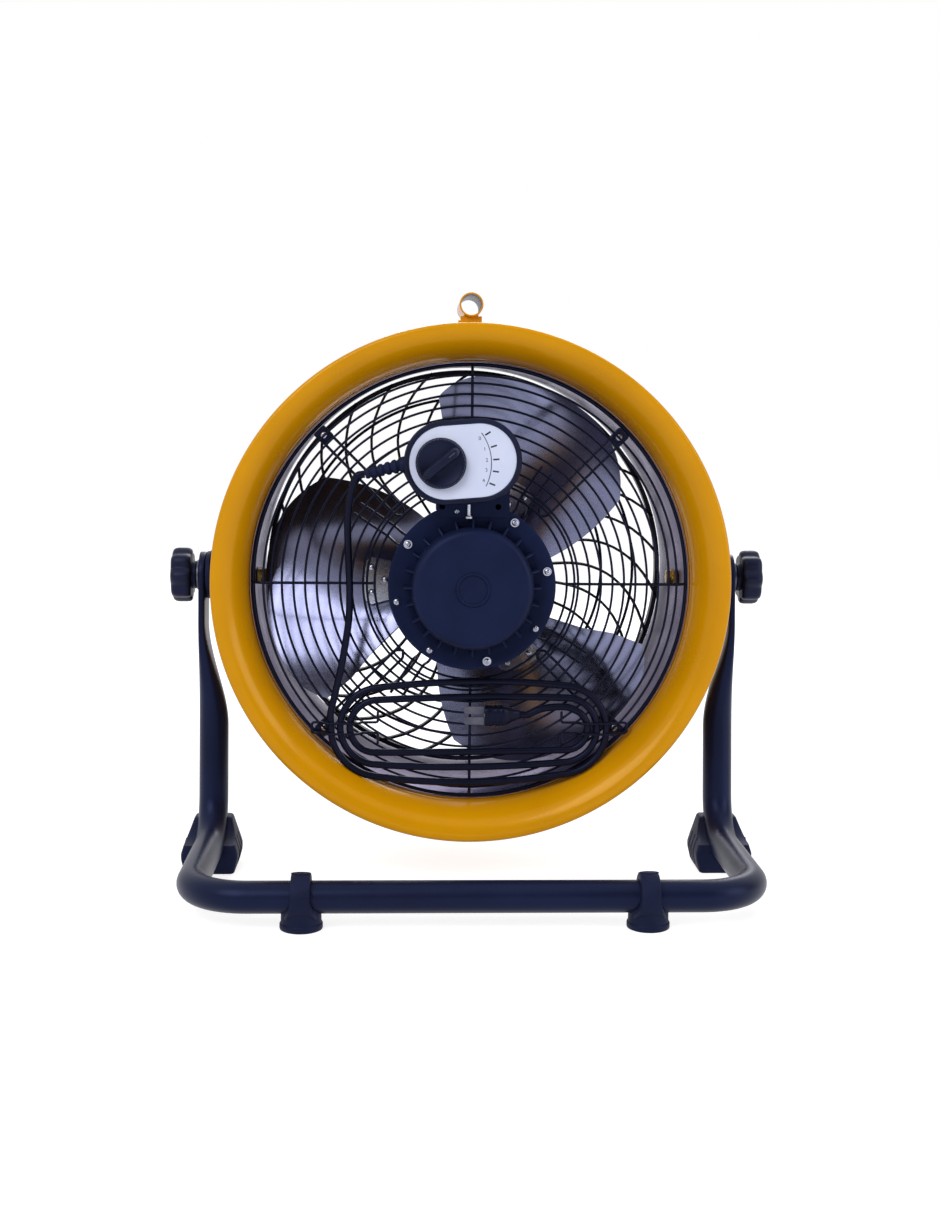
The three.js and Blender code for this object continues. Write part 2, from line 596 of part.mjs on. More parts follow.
function makeWheel() {
  const hub = wheel.discThickness / 2;
  const shaftHole = pin(motor.shaftRadius + SEAT_GAP, -100, 200, motor.shaftSides);
  const hubBack = wheel.centreDepth - wheel.hubLength / 2;
  const hubFront = hubBack + wheel.hubLength;
  const armOffset = -wheel.armSheet - SEAT_GAP;
  const discDepth = wheel.centreDepth + armOffset + wheel.armSheet / 2 - wheel.camber * 0.33;
  const spider = [pin(wheel.hubRadius, hubBack, hubFront, 16), pin(wheel.discRadius, discDepth - hub, discDepth + hub, 18)];
  for (let i = 0; i < wheel.bladeCount; i++) {
    const degrees = wheel.firstAngle + 360 * i / wheel.bladeCount;
    const blade = bladeSheet({ from: wheel.rootRadius, to: wheel.tipRadius, halfSpan: bladeHalfSpan,
      sheet: wheel.sheet, cornerCut: wheel.cornerCut, radiusSteps: 6, angleSteps: 8 });
    place(`blade_${i + 1}`, turnY(blade, degrees), ALUMINIUM);
    spider.push(turnY(bladeSheet({ from: wheel.armRoot, to: wheel.armReach, halfSpan: () => wheel.armHalfSpan,
      sheet: wheel.armSheet, offset: armOffset, radiusSteps: 4, angleSteps: 4 }), degrees));
  }
  place('blade_spider', cut(join(spider), [shaftHole]), STEEL);
  const nutBack = hubFront + SEAT_GAP;
  place('hub_nut', cut(pin(wheel.nutRadius, nutBack, nutBack + wheel.nutHeight, 6), [shaftHole]), STEEL);
}

// ---------------------------------------------------------------- switch box

const flangeFace = motor.flangeBack - SEAT_GAP;
const boxMount = { thickness: 1.5, width: 60, top: 118, bottom: 57 };
const inBox = (geometry) => turnY(geometry, box.roll).translate(box.centreX, 0, box.centreZ);
const plateNear = box.front + 1.2;                       // dial plate's face, just inside the box's rim
const plateFar = plateNear + box.plateThickness;
const switchBody = { radius: 15, length: 20 };
const reliefAngle = 14;                                  // degrees the cord leaves the box below level
const reliefRoot = V3(-54, (box.front + box.back) / 2, 100);
const reliefAlong = polar(1, 180 + reliefAngle);
const reliefTip = reliefRoot.clone().addScaledVector(reliefAlong, relief.length);

function makeSwitchBox() {
  const innerWidth = box.width - 2 * box.rim;
  const innerHeight = box.height - 2 * box.rim;
  const shell = plate(oblong(box.width, box.height), box.front, box.back, 8);
  const hollow = plate(oblong(box.width - 2 * box.wall, box.height - 2 * box.wall), plateFar + 1.5,
    box.back - box.wall, 8);
  const mouth = plate(oblong(innerWidth, innerHeight), box.front - 1, box.back - box.wall - 2, 8);
  const cordHole = bar(reliefRoot.clone().addScaledVector(reliefAlong, -8), reliefTip,
    relief.rootRadius + SEAT_GAP, 12);
  place('switch_box', cut(cut(inBox(shell), [inBox(hollow), inBox(mouth)]), [cordHole]), BLACK_PLASTIC);

  const dial = plate(oblong(innerWidth - 2 * SEAT_GAP, innerHeight - 2 * SEAT_GAP), plateNear, plateFar, 8);
  const shaftHole = pin(speed.shaftRadius + SEAT_GAP, plateNear - 1, plateFar + 1, 14, speed.offset);
  place('dial_plate', inBox(cut(dial, [shaftHole])), PALE_PLATE);

  const body = pin(switchBody.radius, plateFar + SEAT_GAP, plateFar + SEAT_GAP + switchBody.length, 20, speed.offset);
  place('rotary_switch', inBox(body), BLACK_PLASTIC);
}

function makeSpeedKnob() {
  const face = plateNear - SEAT_GAP;
  const top = face - speed.height;
  const grip = top - speed.gripHeight;
  const disc = turned([[0, face], [speed.radius, face], [speed.radius, face - 2.5], [speed.radius - 1.5, top],
    [0, top]], 24);
  const half = speed.gripWidth / 2;
  const long = speed.radius - 2.5;
  const bladeOutline = outline([[-long, -half * 0.6], [-long * 0.6, -half], [long * 0.6, -half], [long, -half * 0.6],
    [long, half * 0.6], [long * 0.6, half], [-long * 0.6, half], [-long, half * 0.6]]);
  const bladePiece = turnY(plate(bladeOutline, grip, top + 1), speed.gripAngle - box.roll);
  const shaft = pin(speed.shaftRadius, top + 1, plateFar - SEAT_GAP, 14);
  const knob = join([disc, bladePiece, shaft]).translate(speed.offset, 0, 0);
  place('speed_knob', inBox(knob), BLACK_PLASTIC);
}

function makeBoxMount() {
  const { thickness, width, top, bottom } = boxMount;
  const half = width / 2;
  const sheet = plate(outline([[-half + 6, bottom], [half, bottom], [half, top - 12], [half - 12, top],
    [-half, top], [-half, bottom + 6]]), flangeFace - thickness, flangeFace);
  const cupRoom = pin(motor.finRadius + 1.5, flangeFace - thickness - 1, flangeFace + 1, 32);
  place('box_mount', cut(sheet, [cupRoom]), STEEL);

  const lead = { radius: 1.4, x: -3.4, depth: -43 };
  const underBox = box.centreZ - box.height / 2 - 1.4;
  const onCup = motor.finRadius + SEAT_GAP;
  const stem = bar(V3(lead.x, lead.depth, onCup), V3(lead.x, lead.depth, underBox), lead.radius, 10);
  const collar = bar(V3(lead.x, lead.depth, onCup), V3(lead.x, lead.depth, onCup + 2), lead.radius * 2.2, 10);
  place('motor_lead', join([stem, collar]), STEEL);
}

// ---------------------------------------------------------------- stand

const railZ = -AXIS_HEIGHT + stand.floorClear + stand.tubeRadius;
const heelCorner = V3(stand.legX, stand.heelY, railZ);
const pivot = V3(stand.legX, drum.pivotDepth, 0);
const legUp = V3().subVectors(pivot, heelCorner).normalize();

// Stations down the right leg: [distance above the pivot along the leg, half width of the flattened tube].
function earStations() {
  const half = stand.earWidth / 2;
  const shoulder = stand.earTop - half;
  const dome = [72, 48, 24, 0].map((angle) => [shoulder + half * sin(rad(angle)), half * cos(rad(angle))]);
  return [...dome, [stand.earBase, half]];
}

function standStations() {
  const side = V3(1, 0, 0);
  const down = legUp.clone().negate();
  const at = (height) => pivot.clone().addScaledVector(legUp, height);
  const flat = (height, halfWidth) => ({ p: at(height).setX(stand.earX), t: down, out: side,
    thick: stand.earThickness / 2, wide: halfWidth, power: 0.3 });
  const stations = earStations().map(([height, halfWidth]) => flat(height, halfWidth));
  const neckSteps = 4;
  for (let i = 1; i <= neckSteps; i++) {
    const share = i / neckSteps;
    const ease = share * share * (3 - 2 * share);
    const p = at(lerp(stand.earBase, stand.roundBelow, share)).setX(lerp(stand.earX, stand.legX, ease));
    stations.push({ p, t: down, out: side, thick: lerp(stand.earThickness / 2, stand.tubeRadius, ease),
      wide: lerp(stand.earWidth / 2, stand.tubeRadius, ease), power: lerp(0.3, 1, ease) });
  }
  const barCorner = V3(stand.legX, stand.railY, railZ);
  const barMiddle = V3(0, stand.railY, railZ);
  const round = { thick: stand.tubeRadius, wide: stand.tubeRadius, power: 1 };
  const heel = bend(pivot, heelCorner, barCorner, stand.heelRadius, stand.bendSteps);
  heel.forEach((p, i) => {
    const turned01 = i / (heel.length - 1);
    const angle = turned01 * down.angleTo(V3(0, -1, 0));
    stations.push({ p, t: down.clone().applyAxisAngle(V3(-1, 0, 0), angle), out: side, ...round });
  });
  const corner = bend(heelCorner, barCorner, barMiddle, stand.cornerRadius, stand.bendSteps);
  corner.forEach((p, i) => {
    const angle = PI / 2 * i / (corner.length - 1);
    stations.push({ p, t: V3(-sin(angle), -cos(angle), 0), out: V3(cos(angle), -sin(angle), 0), ...round });
  });
  const mirrored = stations.map(({ p, t, out, ...size }) => ({ p: p.clone().setX(-p.x),
    t: V3(t.x, -t.y, -t.z), out: out.clone().setX(-out.x), ...size })).toReversed();
  return [...stations, ...mirrored];
}

// The bent tube's skin, or a slightly fatter one that cuts its seat in the feet.
function standTube(extra = 0) {
  const power = (value, exponent) => Math.sign(value) * abs(value) ** exponent;
  const rings = standStations().map(({ p, t, out, thick, wide, power: exponent }) => {
    const across = V3().crossVectors(t, out);
    return Array.from({ length: stand.sides }, (_, i) => {
      const angle = 2 * PI * (i + 0.5) / stand.sides;
      return p.clone().addScaledVector(out, (thick + extra) * power(cos(angle), exponent))
        .addScaledVector(across, (wide + extra) * power(sin(angle), exponent));
    });
  });
  return loft(rings);
}

function makeStand() {
  const holes = SIDES_OF_DRUM.map(([, side]) => bar(V3(side * (stand.earX - 10), drum.pivotDepth, 0),
    V3(side * (stand.earX + 10), drum.pivotDepth, 0), clamp.studRadius + SEAT_GAP, 14));
  place('stand_tube', cut(standTube(), holes), BLACK_COAT);
}

function makeFeet() {
  const floor = -AXIS_HEIGHT;
  const seat = standTube(SEAT_GAP);
  for (const [name, side] of SIDES_OF_DRUM) {
    const { collarWidth, collarWall, baseRadius, stepRadius, stepHeight } = barFoot;
    const middle = V3(side * barFoot.x, stand.railY, railZ);
    const collar = bar(middle.clone().setX(middle.x - collarWidth / 2), middle.clone().setX(middle.x + collarWidth / 2),
      stand.tubeRadius + collarWall, 16);
    const base = outward(new THREE.LatheGeometry([[0, 0], [baseRadius - 1, 0], [baseRadius, 1], [baseRadius, stepHeight],
      [stepRadius, stepHeight + 1], [stepRadius - 2, 2 * stepHeight + 2], [collarWidth / 2, stand.floorClear + 6],
      [0, stand.floorClear + 6]].map(([radius, z]) => new THREE.Vector2(radius, z)), 18));
    base.rotateX(PI / 2).translate(middle.x, middle.y, floor);
    place(`bar_foot_${name}`, cut(join([collar, base]), [seat]), RUBBER);

    const { width, topWidth, soleWidth, length, near, height, waist } = heelFoot;
    const section = (depth, shrink) => [[-soleWidth / 2, 0], [soleWidth / 2, 0], [width / 2, waist],
      [width / 2, waist + 6], [topWidth / 2, height], [-topWidth / 2, height], [-width / 2, waist + 6],
      [-width / 2, waist]].map(([x, z]) => V3(side * stand.legX + x * (1 - shrink), near + depth,
      floor + (z > 0 ? z * (1 - shrink) : 0)));
    const heel = loft([section(0, 0.12), section(4, 0), section(length - 5, 0), section(length, 0.15)]);
    place(`heel_foot_${name}`, cut(heel, [seat]), RUBBER);
  }
}

// ---------------------------------------------------------------- tilt clamps

// Everything between the drum and one hand knob, laid out along +X and then put on its side of the drum.
function makeClamp(name, side) {
  const depth = drum.pivotDepth;
  const onAxis = (from, to, radius, sides = 16) => bar(V3(side * from, depth, 0), V3(side * to, depth, 0), radius, sides);
  const studHole = onAxis(drum.innerRadius - 20, 300, clamp.studRadius + SEAT_GAP, 12);
  const earInner = stand.earX - stand.earThickness / 2;
  const earOuter = stand.earX + stand.earThickness / 2;

  const discFrom = earInner - SEAT_GAP - clamp.discThickness;
  place(`friction_disc_${name}`, cut(onAxis(discFrom, earInner - SEAT_GAP, clamp.discRadius), [studHole]), RUBBER);

  const top = discFrom - SEAT_GAP;
  const { bracketSheet: sheet, bracketTopWidth, bracketFoot, bracketWidth } = clamp;
  const half = bracketTopWidth / 2;
  const base = drum.innerRadius - 1;
  const footTop = barrelOuter + SEAT_GAP + sheet;
  const hat = outline([[base, -half - bracketFoot], [footTop, -half - bracketFoot], [footTop, -half], [top, -half + 4],
    [top, half - 4], [footTop, half], [footTop, half + bracketFoot], [base, half + bracketFoot],
    [base, half - sheet], [top - sheet, half - 4 - sheet], [top - sheet, -half + 4 + sheet], [base, -half + sheet]]
    .map(([x, y]) => [side * x, y]));
  const hatSheet = new THREE.ExtrudeGeometry(hat, { depth: bracketWidth, bevelEnabled: false })
    .translate(0, depth, -bracketWidth / 2);
  const wall = drumFilling(-20, drum.length + 20, SEAT_GAP);
  place(`pivot_bracket_${name}`, cut(hatSheet, [wall, studHole]), BLACK_COAT);

  const nutOuter = drum.innerRadius * cos(PI / ROUND_SIDES) - SEAT_GAP;
  const nutPlate = block(clamp.nutPlateThickness, clamp.nutPlateLength, clamp.nutPlateHeight,
    V3(side * (nutOuter - clamp.nutPlateThickness / 2), depth, 0));
  place(`nut_plate_${name}`, cut(nutPlate, [studHole]), STEEL);

  const washerFrom = earOuter + SEAT_GAP;
  const washerTo = washerFrom + clamp.washerThickness;
  place(`clamp_washer_${name}`, cut(onAxis(washerFrom, washerTo, clamp.washerRadius), [studHole]), STEEL);

  const hubFrom = washerTo + SEAT_GAP;
  const bodyFrom = hubFrom + clamp.knobHubLength;
  const bodyTo = bodyFrom + clamp.knobThickness;
  const studTo = bodyFrom + clamp.knobThickness / 2;
  const lobes = new THREE.Shape();
  const points = 4 * clamp.knobLobes;
  for (let i = 0; i < points; i++) {
    const angle = 2 * PI * i / points;
    const radius = lerp(clamp.knobWaist, clamp.knobRadius, (1 + cos(clamp.knobLobes * angle)) / 2);
    if (i === 0) lobes.moveTo(radius, 0);
    else lobes.lineTo(radius * cos(angle), radius * sin(angle));
  }
  const bevel = 2;
  const star = new THREE.ExtrudeGeometry(lobes, { depth: clamp.knobThickness - 2 * bevel, bevelThickness: bevel,
    bevelSize: bevel, bevelOffset: -bevel, bevelSegments: 1 });
  star.translate(0, 0, bevel).rotateY(side * PI / 2).translate(side * bodyFrom, depth, 0);
  const socket = onAxis(hubFrom - 1, studTo + SEAT_GAP, clamp.studRadius + SEAT_GAP, 12);
  const knob = join([star, onAxis(hubFrom, bodyFrom + 1, clamp.knobHub, 16)]);
  place(`clamp_knob_${name}`, cut(knob, [socket]), BLACK_PLASTIC);
  place(`clamp_stud_${name}`, onAxis(nutOuter - clamp.nutPlateThickness, studTo, clamp.studRadius, 10), STEEL);
  return bodyTo;
}

// ---------------------------------------------------------------- mains cord

// Ribbed sleeve that tapers from the box to the cord.
function makeStrainRelief() {
  const pitch = relief.length / (relief.ribs + 1);
  const profile = [[0, 0], [relief.rootRadius, 0], [relief.rootRadius, pitch * 0.9]];
  for (let i = 1; i <= relief.ribs; i++) {
    const at = pitch * i;
    const radius = lerp(relief.rootRadius - 0.4, relief.tipRadius, i / relief.ribs);
    profile.push([radius - relief.ribHeight, at + pitch * 0.2], [radius, at + pitch * 0.45],
      [radius, at + pitch * 0.9]);
  }
  profile.push([relief.tipRadius - 1, relief.length], [0, relief.length]);
  const sleeve = turned(profile, relief.sides);
  sleeve.applyQuaternion(new THREE.Quaternion().setFromUnitVectors(V3(0, 1, 0), reliefAlong));
  place('strain_relief', sleeve.translate(...reliefRoot), RUBBER);
}

// The hank is laid as one flat spiral round the two hooks. At `turn` loops from its start, on the far left,
// it has drawn in by a steady pitch; each loop is two round folds joined by gently bowed runs.
function hankPoint(turn) {
  const a = cord.halfWidth - cord.widthPitch * turn;
  const b = cord.halfHeight - cord.heightPitch * (turn - 0.25);
  const fold = cord.foldRadius + cord.foldShare * max(0, b - cord.foldRadius);
  const lean = atan(2 * (b - fold) / (a - fold));
  const foldShare = 14 / 24;                              // of a loop's steps, both folds together
  const half = foldShare / 4;
  const phase = turn - Math.floor(turn);                  // 0 at the far left, 0.5 at the far right
  const mirror = phase >= 0.25 && phase < 0.75 ? 1 : -1;  // right half or left half
  const near = mirror > 0 ? phase - 0.5 : (phase + 0.5) % 1 - 0.5;   // from -0.25 to 0.25 about the fold's middle
  const climb = mirror * Math.sign(near);                 // up on the right, down on the left
  const foldAngle = PI / 2 - lean;
  let x;
  let z;
  if (abs(near) <= half) {
    const angle = foldAngle * abs(near) / half;
    x = a - fold + fold * cos(angle);
    z = fold * sin(angle);
  } else {
    const edge = a - fold + fold * cos(foldAngle);
    x = edge * (1 - (abs(near) - half) / (0.25 - half));
    z = fold * sin(foldAngle) + tan(lean) * edge / 2 * (1 - (x / edge) ** 2);
  }
  return V3(cord.centreX + mirror * x, cordDepth, cord.centreZ + climb * z);
}

function makeCord() {
  // Points chosen by hand, from the strain relief down to the left hook.
  const start = reliefTip.clone().addScaledVector(reliefAlong, SEAT_GAP);
  const hankStart = hankPoint(0);
  const lead = 2 * cord.radius;
  const end = hankStart.clone().setZ(hankStart.z + lead + SEAT_GAP);
  const route = [
    start,
    start.clone().addScaledVector(reliefAlong, lead),
    V3(-98, -47.5, 78),
    V3(-100.8, -41, 58),
    V3(-101.2, -31, 36),
    V3(-100.8, -20, 15),
    V3(-100.4, -14, -6),
    V3(-101, cordDepth, -28),
    V3(-104, cordDepth, -50),
    V3(-107.5, cordDepth, -70),
    V3(-112, cordDepth, -90),
    end.clone().setZ(end.z + lead),
    end,
  ];
  const path = new THREE.CatmullRomCurve3(route, false, 'centripetal');
  const steps = round(path.getLength() / (2 * 2 * cord.radius));
  const section = new THREE.Shape();
  section.absarc(0, 0, cord.radius, 0, 2 * PI);
  const drop = new THREE.ExtrudeGeometry(section, { steps, extrudePath: path, curveSegments: 4 });
  place('cord_drop', drop, CORD_BLACK);

  const total = round(cord.loops * cord.loopSteps);
  const points = [hankStart.clone().setZ(hankStart.z + lead)];
  for (let i = 0; i <= total; i++) points.push(hankPoint(i / cord.loopSteps));
  const last = points.at(-1);
  const before = points.at(-2);
  const plugAxis = V3(Math.sign(last.x - before.x), 0, 0);
  const tail = last.clone().addScaledVector(plugAxis, cord.tailRun).setZ(last.z - cord.tailDrop);
  points.push(tail, tail.clone().addScaledVector(plugAxis, lead));
  place('cord_hank', rod(points, cord.radius, cord.loopSides), CORD_BLACK);
  reportHank(points, path.getLength());
  makePlug(points.at(-1).clone().addScaledVector(plugAxis, SEAT_GAP), plugAxis.x);
}

function reportHank(points, dropLength) {
  let gap = Infinity;
  let length = dropLength;
  const fine = [];
  for (let i = 0; i + 1 < points.length; i++) {
    length += points[i].distanceTo(points[i + 1]);
    for (let k = 0; k < 8; k++) fine.push(points[i].clone().lerp(points[i + 1], k / 8));
  }
  const apart = round(cord.loopSteps / 2) * 8;
  for (let i = 0; i < fine.length; i++) {
    for (let j = i + apart; j < fine.length; j++) gap = min(gap, fine[i].distanceTo(fine[j]));
  }
  console.log(`cord: ${length.toFixed(0)} mm long, least gap of the hank to itself `
    + `${(gap - 2 * cord.radius).toFixed(2)} mm`);
}

function makePlug(face, direction) {
  const { length, width, thickness, pinLength, pinWidth, pinThickness, pinGap } = plug;
  const middle = face.y + cord.radius - thickness / 2;   // the plug rests on the guard, as its cord does
  const neck = 2 * cord.radius / thickness * 0.97;
  const corners = [[-1, -0.7], [-0.7, -1], [0.7, -1], [1, -0.7], [1, 0.7], [0.7, 1], [-0.7, 1], [-1, 0.7]];
  const section = (x, size) => corners.map(([y, z]) => V3(face.x + direction * x,
    lerp(face.y, middle, (size - neck) / (1 - neck)) + y * thickness / 2 * size, face.z + z * width / 2 * size));
  const body = loft([section(0, neck), section(length * 0.2, 0.6), section(length * 0.45, 1), section(length, 1)]);
  const pinMiddle = face.x + direction * (length + pinLength / 2 - 1);
  const pins = [-1, 1].map((end) => block(pinLength + 2, pinWidth, pinThickness,
    V3(pinMiddle, middle, face.z + end * pinGap / 2)));
  place('plug', join([body, ...pins]), CORD_BLACK);
}

// ---------------------------------------------------------------- the whole fan

makeBarrel();
makeRims();
makeHandle();
makeIntakeGuard();
makeCordHooks();
makeOutletGrille();
makeMotorCover();
makeMotorFlange();
makeMotorFrontShell();
makeMotorInside();
makeWheel();
makeSwitchBox();
makeSpeedKnob();
makeBoxMount();
makeStand();
makeFeet();
for (const [name, side] of SIDES_OF_DRUM) makeClamp(name, side);
makeStrainRelief();
makeCord();

// The fan stands on z = 0, with x = y = 0 at the middle of the ground it covers.
const nearest = stand.railY - stand.tubeRadius - barFoot.collarWall;
const farthest = drum.length + outletRim.reach;
fan.position.set(0, -(nearest + farthest) / 2, AXIS_HEIGHT);
fan.updateMatrixWorld(true);

export default fan;
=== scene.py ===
"""Drum fan in its bent-tube stand, seen from the intake: dressed model, camera and studio."""
from __future__ import annotations

import logging
import math
from dataclasses import dataclass, field
from enum import Enum
from functools import reduce
from typing import Any, Callable, Sequence

import bmesh
import bpy
from mathutils import Matrix, Vector


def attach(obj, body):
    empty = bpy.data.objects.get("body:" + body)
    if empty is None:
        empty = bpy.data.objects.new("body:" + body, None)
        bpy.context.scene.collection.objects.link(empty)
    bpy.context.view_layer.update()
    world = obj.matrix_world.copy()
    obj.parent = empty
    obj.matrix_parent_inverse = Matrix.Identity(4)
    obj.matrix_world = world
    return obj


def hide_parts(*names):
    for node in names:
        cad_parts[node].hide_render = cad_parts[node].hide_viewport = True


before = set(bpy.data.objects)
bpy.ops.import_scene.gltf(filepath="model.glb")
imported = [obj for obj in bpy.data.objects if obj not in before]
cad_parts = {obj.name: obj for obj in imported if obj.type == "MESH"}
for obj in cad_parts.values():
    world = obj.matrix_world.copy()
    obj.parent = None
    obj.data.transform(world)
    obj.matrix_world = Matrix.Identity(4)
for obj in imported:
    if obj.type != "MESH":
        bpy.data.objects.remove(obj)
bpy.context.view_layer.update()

log = logging.getLogger("drum_fan")

MM = 0.001
DRUM_ORIGIN = Vector((0.0, 3.25, 250.0))  # middle of the drum's intake end, millimetres from the fan's origin
SEAT = 0.3  # what is left between two pieces that touch
TAU = 2 * math.pi
WHITE = "#ffffff"
SIDES = (("left", -1), ("right", 1))
CORNERS = ((-1, -1), (1, -1), (1, 1), (-1, 1))
DIAGONALS = (45, 135, 225, 315)
AHEAD, BEHIND, UP = Vector((0, -1, 0)), Vector((0, 1, 0)), Vector((0, 0, 1))

Point = Sequence[float]
Flat = tuple[float, float]
Tree, Socket = bpy.types.NodeTree, bpy.types.NodeSocket


# ---- geometry tools, millimetres, drum frame


def V(x: float, y: float, z: float) -> Vector:
    """A point or direction."""
    return Vector((x, y, z))


def lerp(a: float, b: float, share: float) -> float:
    """Value a share of the way from a to b."""
    return a + (b - a) * share


def stops(start: float, end: float, steps: int) -> list[float]:
    """Even steps from one value to another, both included."""
    return [lerp(start, end, i / steps) for i in range(steps + 1)]


def turns(count: int, shift: float = 0.0) -> list[float]:
    """Even angles round a full turn, in radians."""
    return [TAU * (i + shift) / count for i in range(count)]


def polar(radius: float, degrees: float, depth: float = 0.0) -> Vector:
    """Point at a radius and an angle from +X, counter-clockwise seen from the intake."""
    a = math.radians(degrees)
    return V(radius * math.cos(a), depth, radius * math.sin(a))


def about_axis(degrees: float) -> Matrix:
    """Turn about the drum's axis, counter-clockwise seen from the intake."""
    return Matrix.Rotation(-math.radians(degrees), 4, "Y")


def arc(centre: Flat, radius: float, start: float, end: float, steps: int) -> list[Flat]:
    """Points of a circular arc in a profile plane, from one angle in degrees to another."""
    angles = [math.radians(a) for a in stops(start, end, steps)]
    return [(centre[0] + radius * math.cos(a), centre[1] + radius * math.sin(a)) for a in angles]


def stadium(width: float, height: float, inset: float, steps: int) -> list[Flat]:
    """Oblong outline with round ends, drawn in by the inset."""
    run, radius = (width - height) / 2, height / 2 - inset
    return arc((run, 0), radius, -90, 90, steps) + arc((-run, 0), radius, 90, 270, steps)


def bevelled(inner: float, outer: float, near: float, far: float, edge: float) -> list[Flat]:
    """Section of a disc or sleeve, from its inner radius to its bevelled outer edges."""
    return [(inner, near), (outer - edge, near), (outer, near + edge), (outer, far - edge), (outer - edge, far),
            (inner, far)]


def squircle(power: float, count: int) -> list[Flat]:
    """Outline of a unit square with more or less round corners: power 1 is a circle."""
    signed = [(math.cos(a), math.sin(a)) for a in turns(count, 0.5)]
    return [(math.copysign(abs(c) ** power, c), math.copysign(abs(s) ** power, s)) for c, s in signed]


def rounded(points: Sequence[Point], radius: float, steps: int = 5, closed: bool = False) -> list[Vector]:
    """Rounds the corners of a bent wire or an outline.

    Args:
        points: Corners in order.
        radius: Bend radius, held to what the straight runs allow.
        steps: Chords in each bend.
        closed: True where the last corner joins the first.

    Returns:
        The rounded line.
    """
    nearly_straight, share_of_run = 0.02, 0.49
    line = [Vector(p) for p in points]
    made: list[Vector] = []
    for i, corner in enumerate(line):
        back, ahead = line[i - 1] - corner, line[(i + 1) % len(line)] - corner
        end = not closed and i in (0, len(line) - 1)
        half = 0.0 if end else back.angle(ahead) / 2
        if end or math.pi / 2 - half < nearly_straight:
            made.append(corner)
            continue
        reach = min(radius / math.tan(half), back.length * share_of_run, ahead.length * share_of_run)
        a, b = corner + back.normalized() * reach, corner + ahead.normalized() * reach
        made += [a * (1 - t) ** 2 + corner * 2 * t * (1 - t) + b * t * t for t in stops(0, 1, steps)]
    return made


def rectangle(left: float, right: float, low: float, high: float, radius: float) -> list[Flat]:
    """Rectangular outline with rounded corners."""
    corners = [V(x, z, 0) for x, z in ((left, low), (right, low), (right, high), (left, high))]
    return [(p.x, p.y) for p in rounded(corners, radius, 4, True)]


def strip(line: Sequence[Vector], half: float) -> list[Flat]:
    """Outline of a bent strip, seen on edge.

    Args:
        line: Its middle, in the plane of X and Y.
        half: Half its thickness.

    Returns:
        The outline, down one side and back up the other.
    """
    sides: list[list[Flat]] = [[], []]
    for i, p in enumerate(line):
        along = (line[min(i + 1, len(line) - 1)] - line[max(i - 1, 0)]).normalized()
        for side, out in zip(sides, (-half, half)):
            side.append((p.x + out * along.y, p.y - out * along.x))
    return sides[0] + sides[1][::-1]


def hairpin(half: Sequence[Vector]) -> list[Vector]:
    """A bent wire from its upper half, which the lower one mirrors."""
    return [*half, *(V(p.x, p.y, -p.z) for p in reversed(half))]


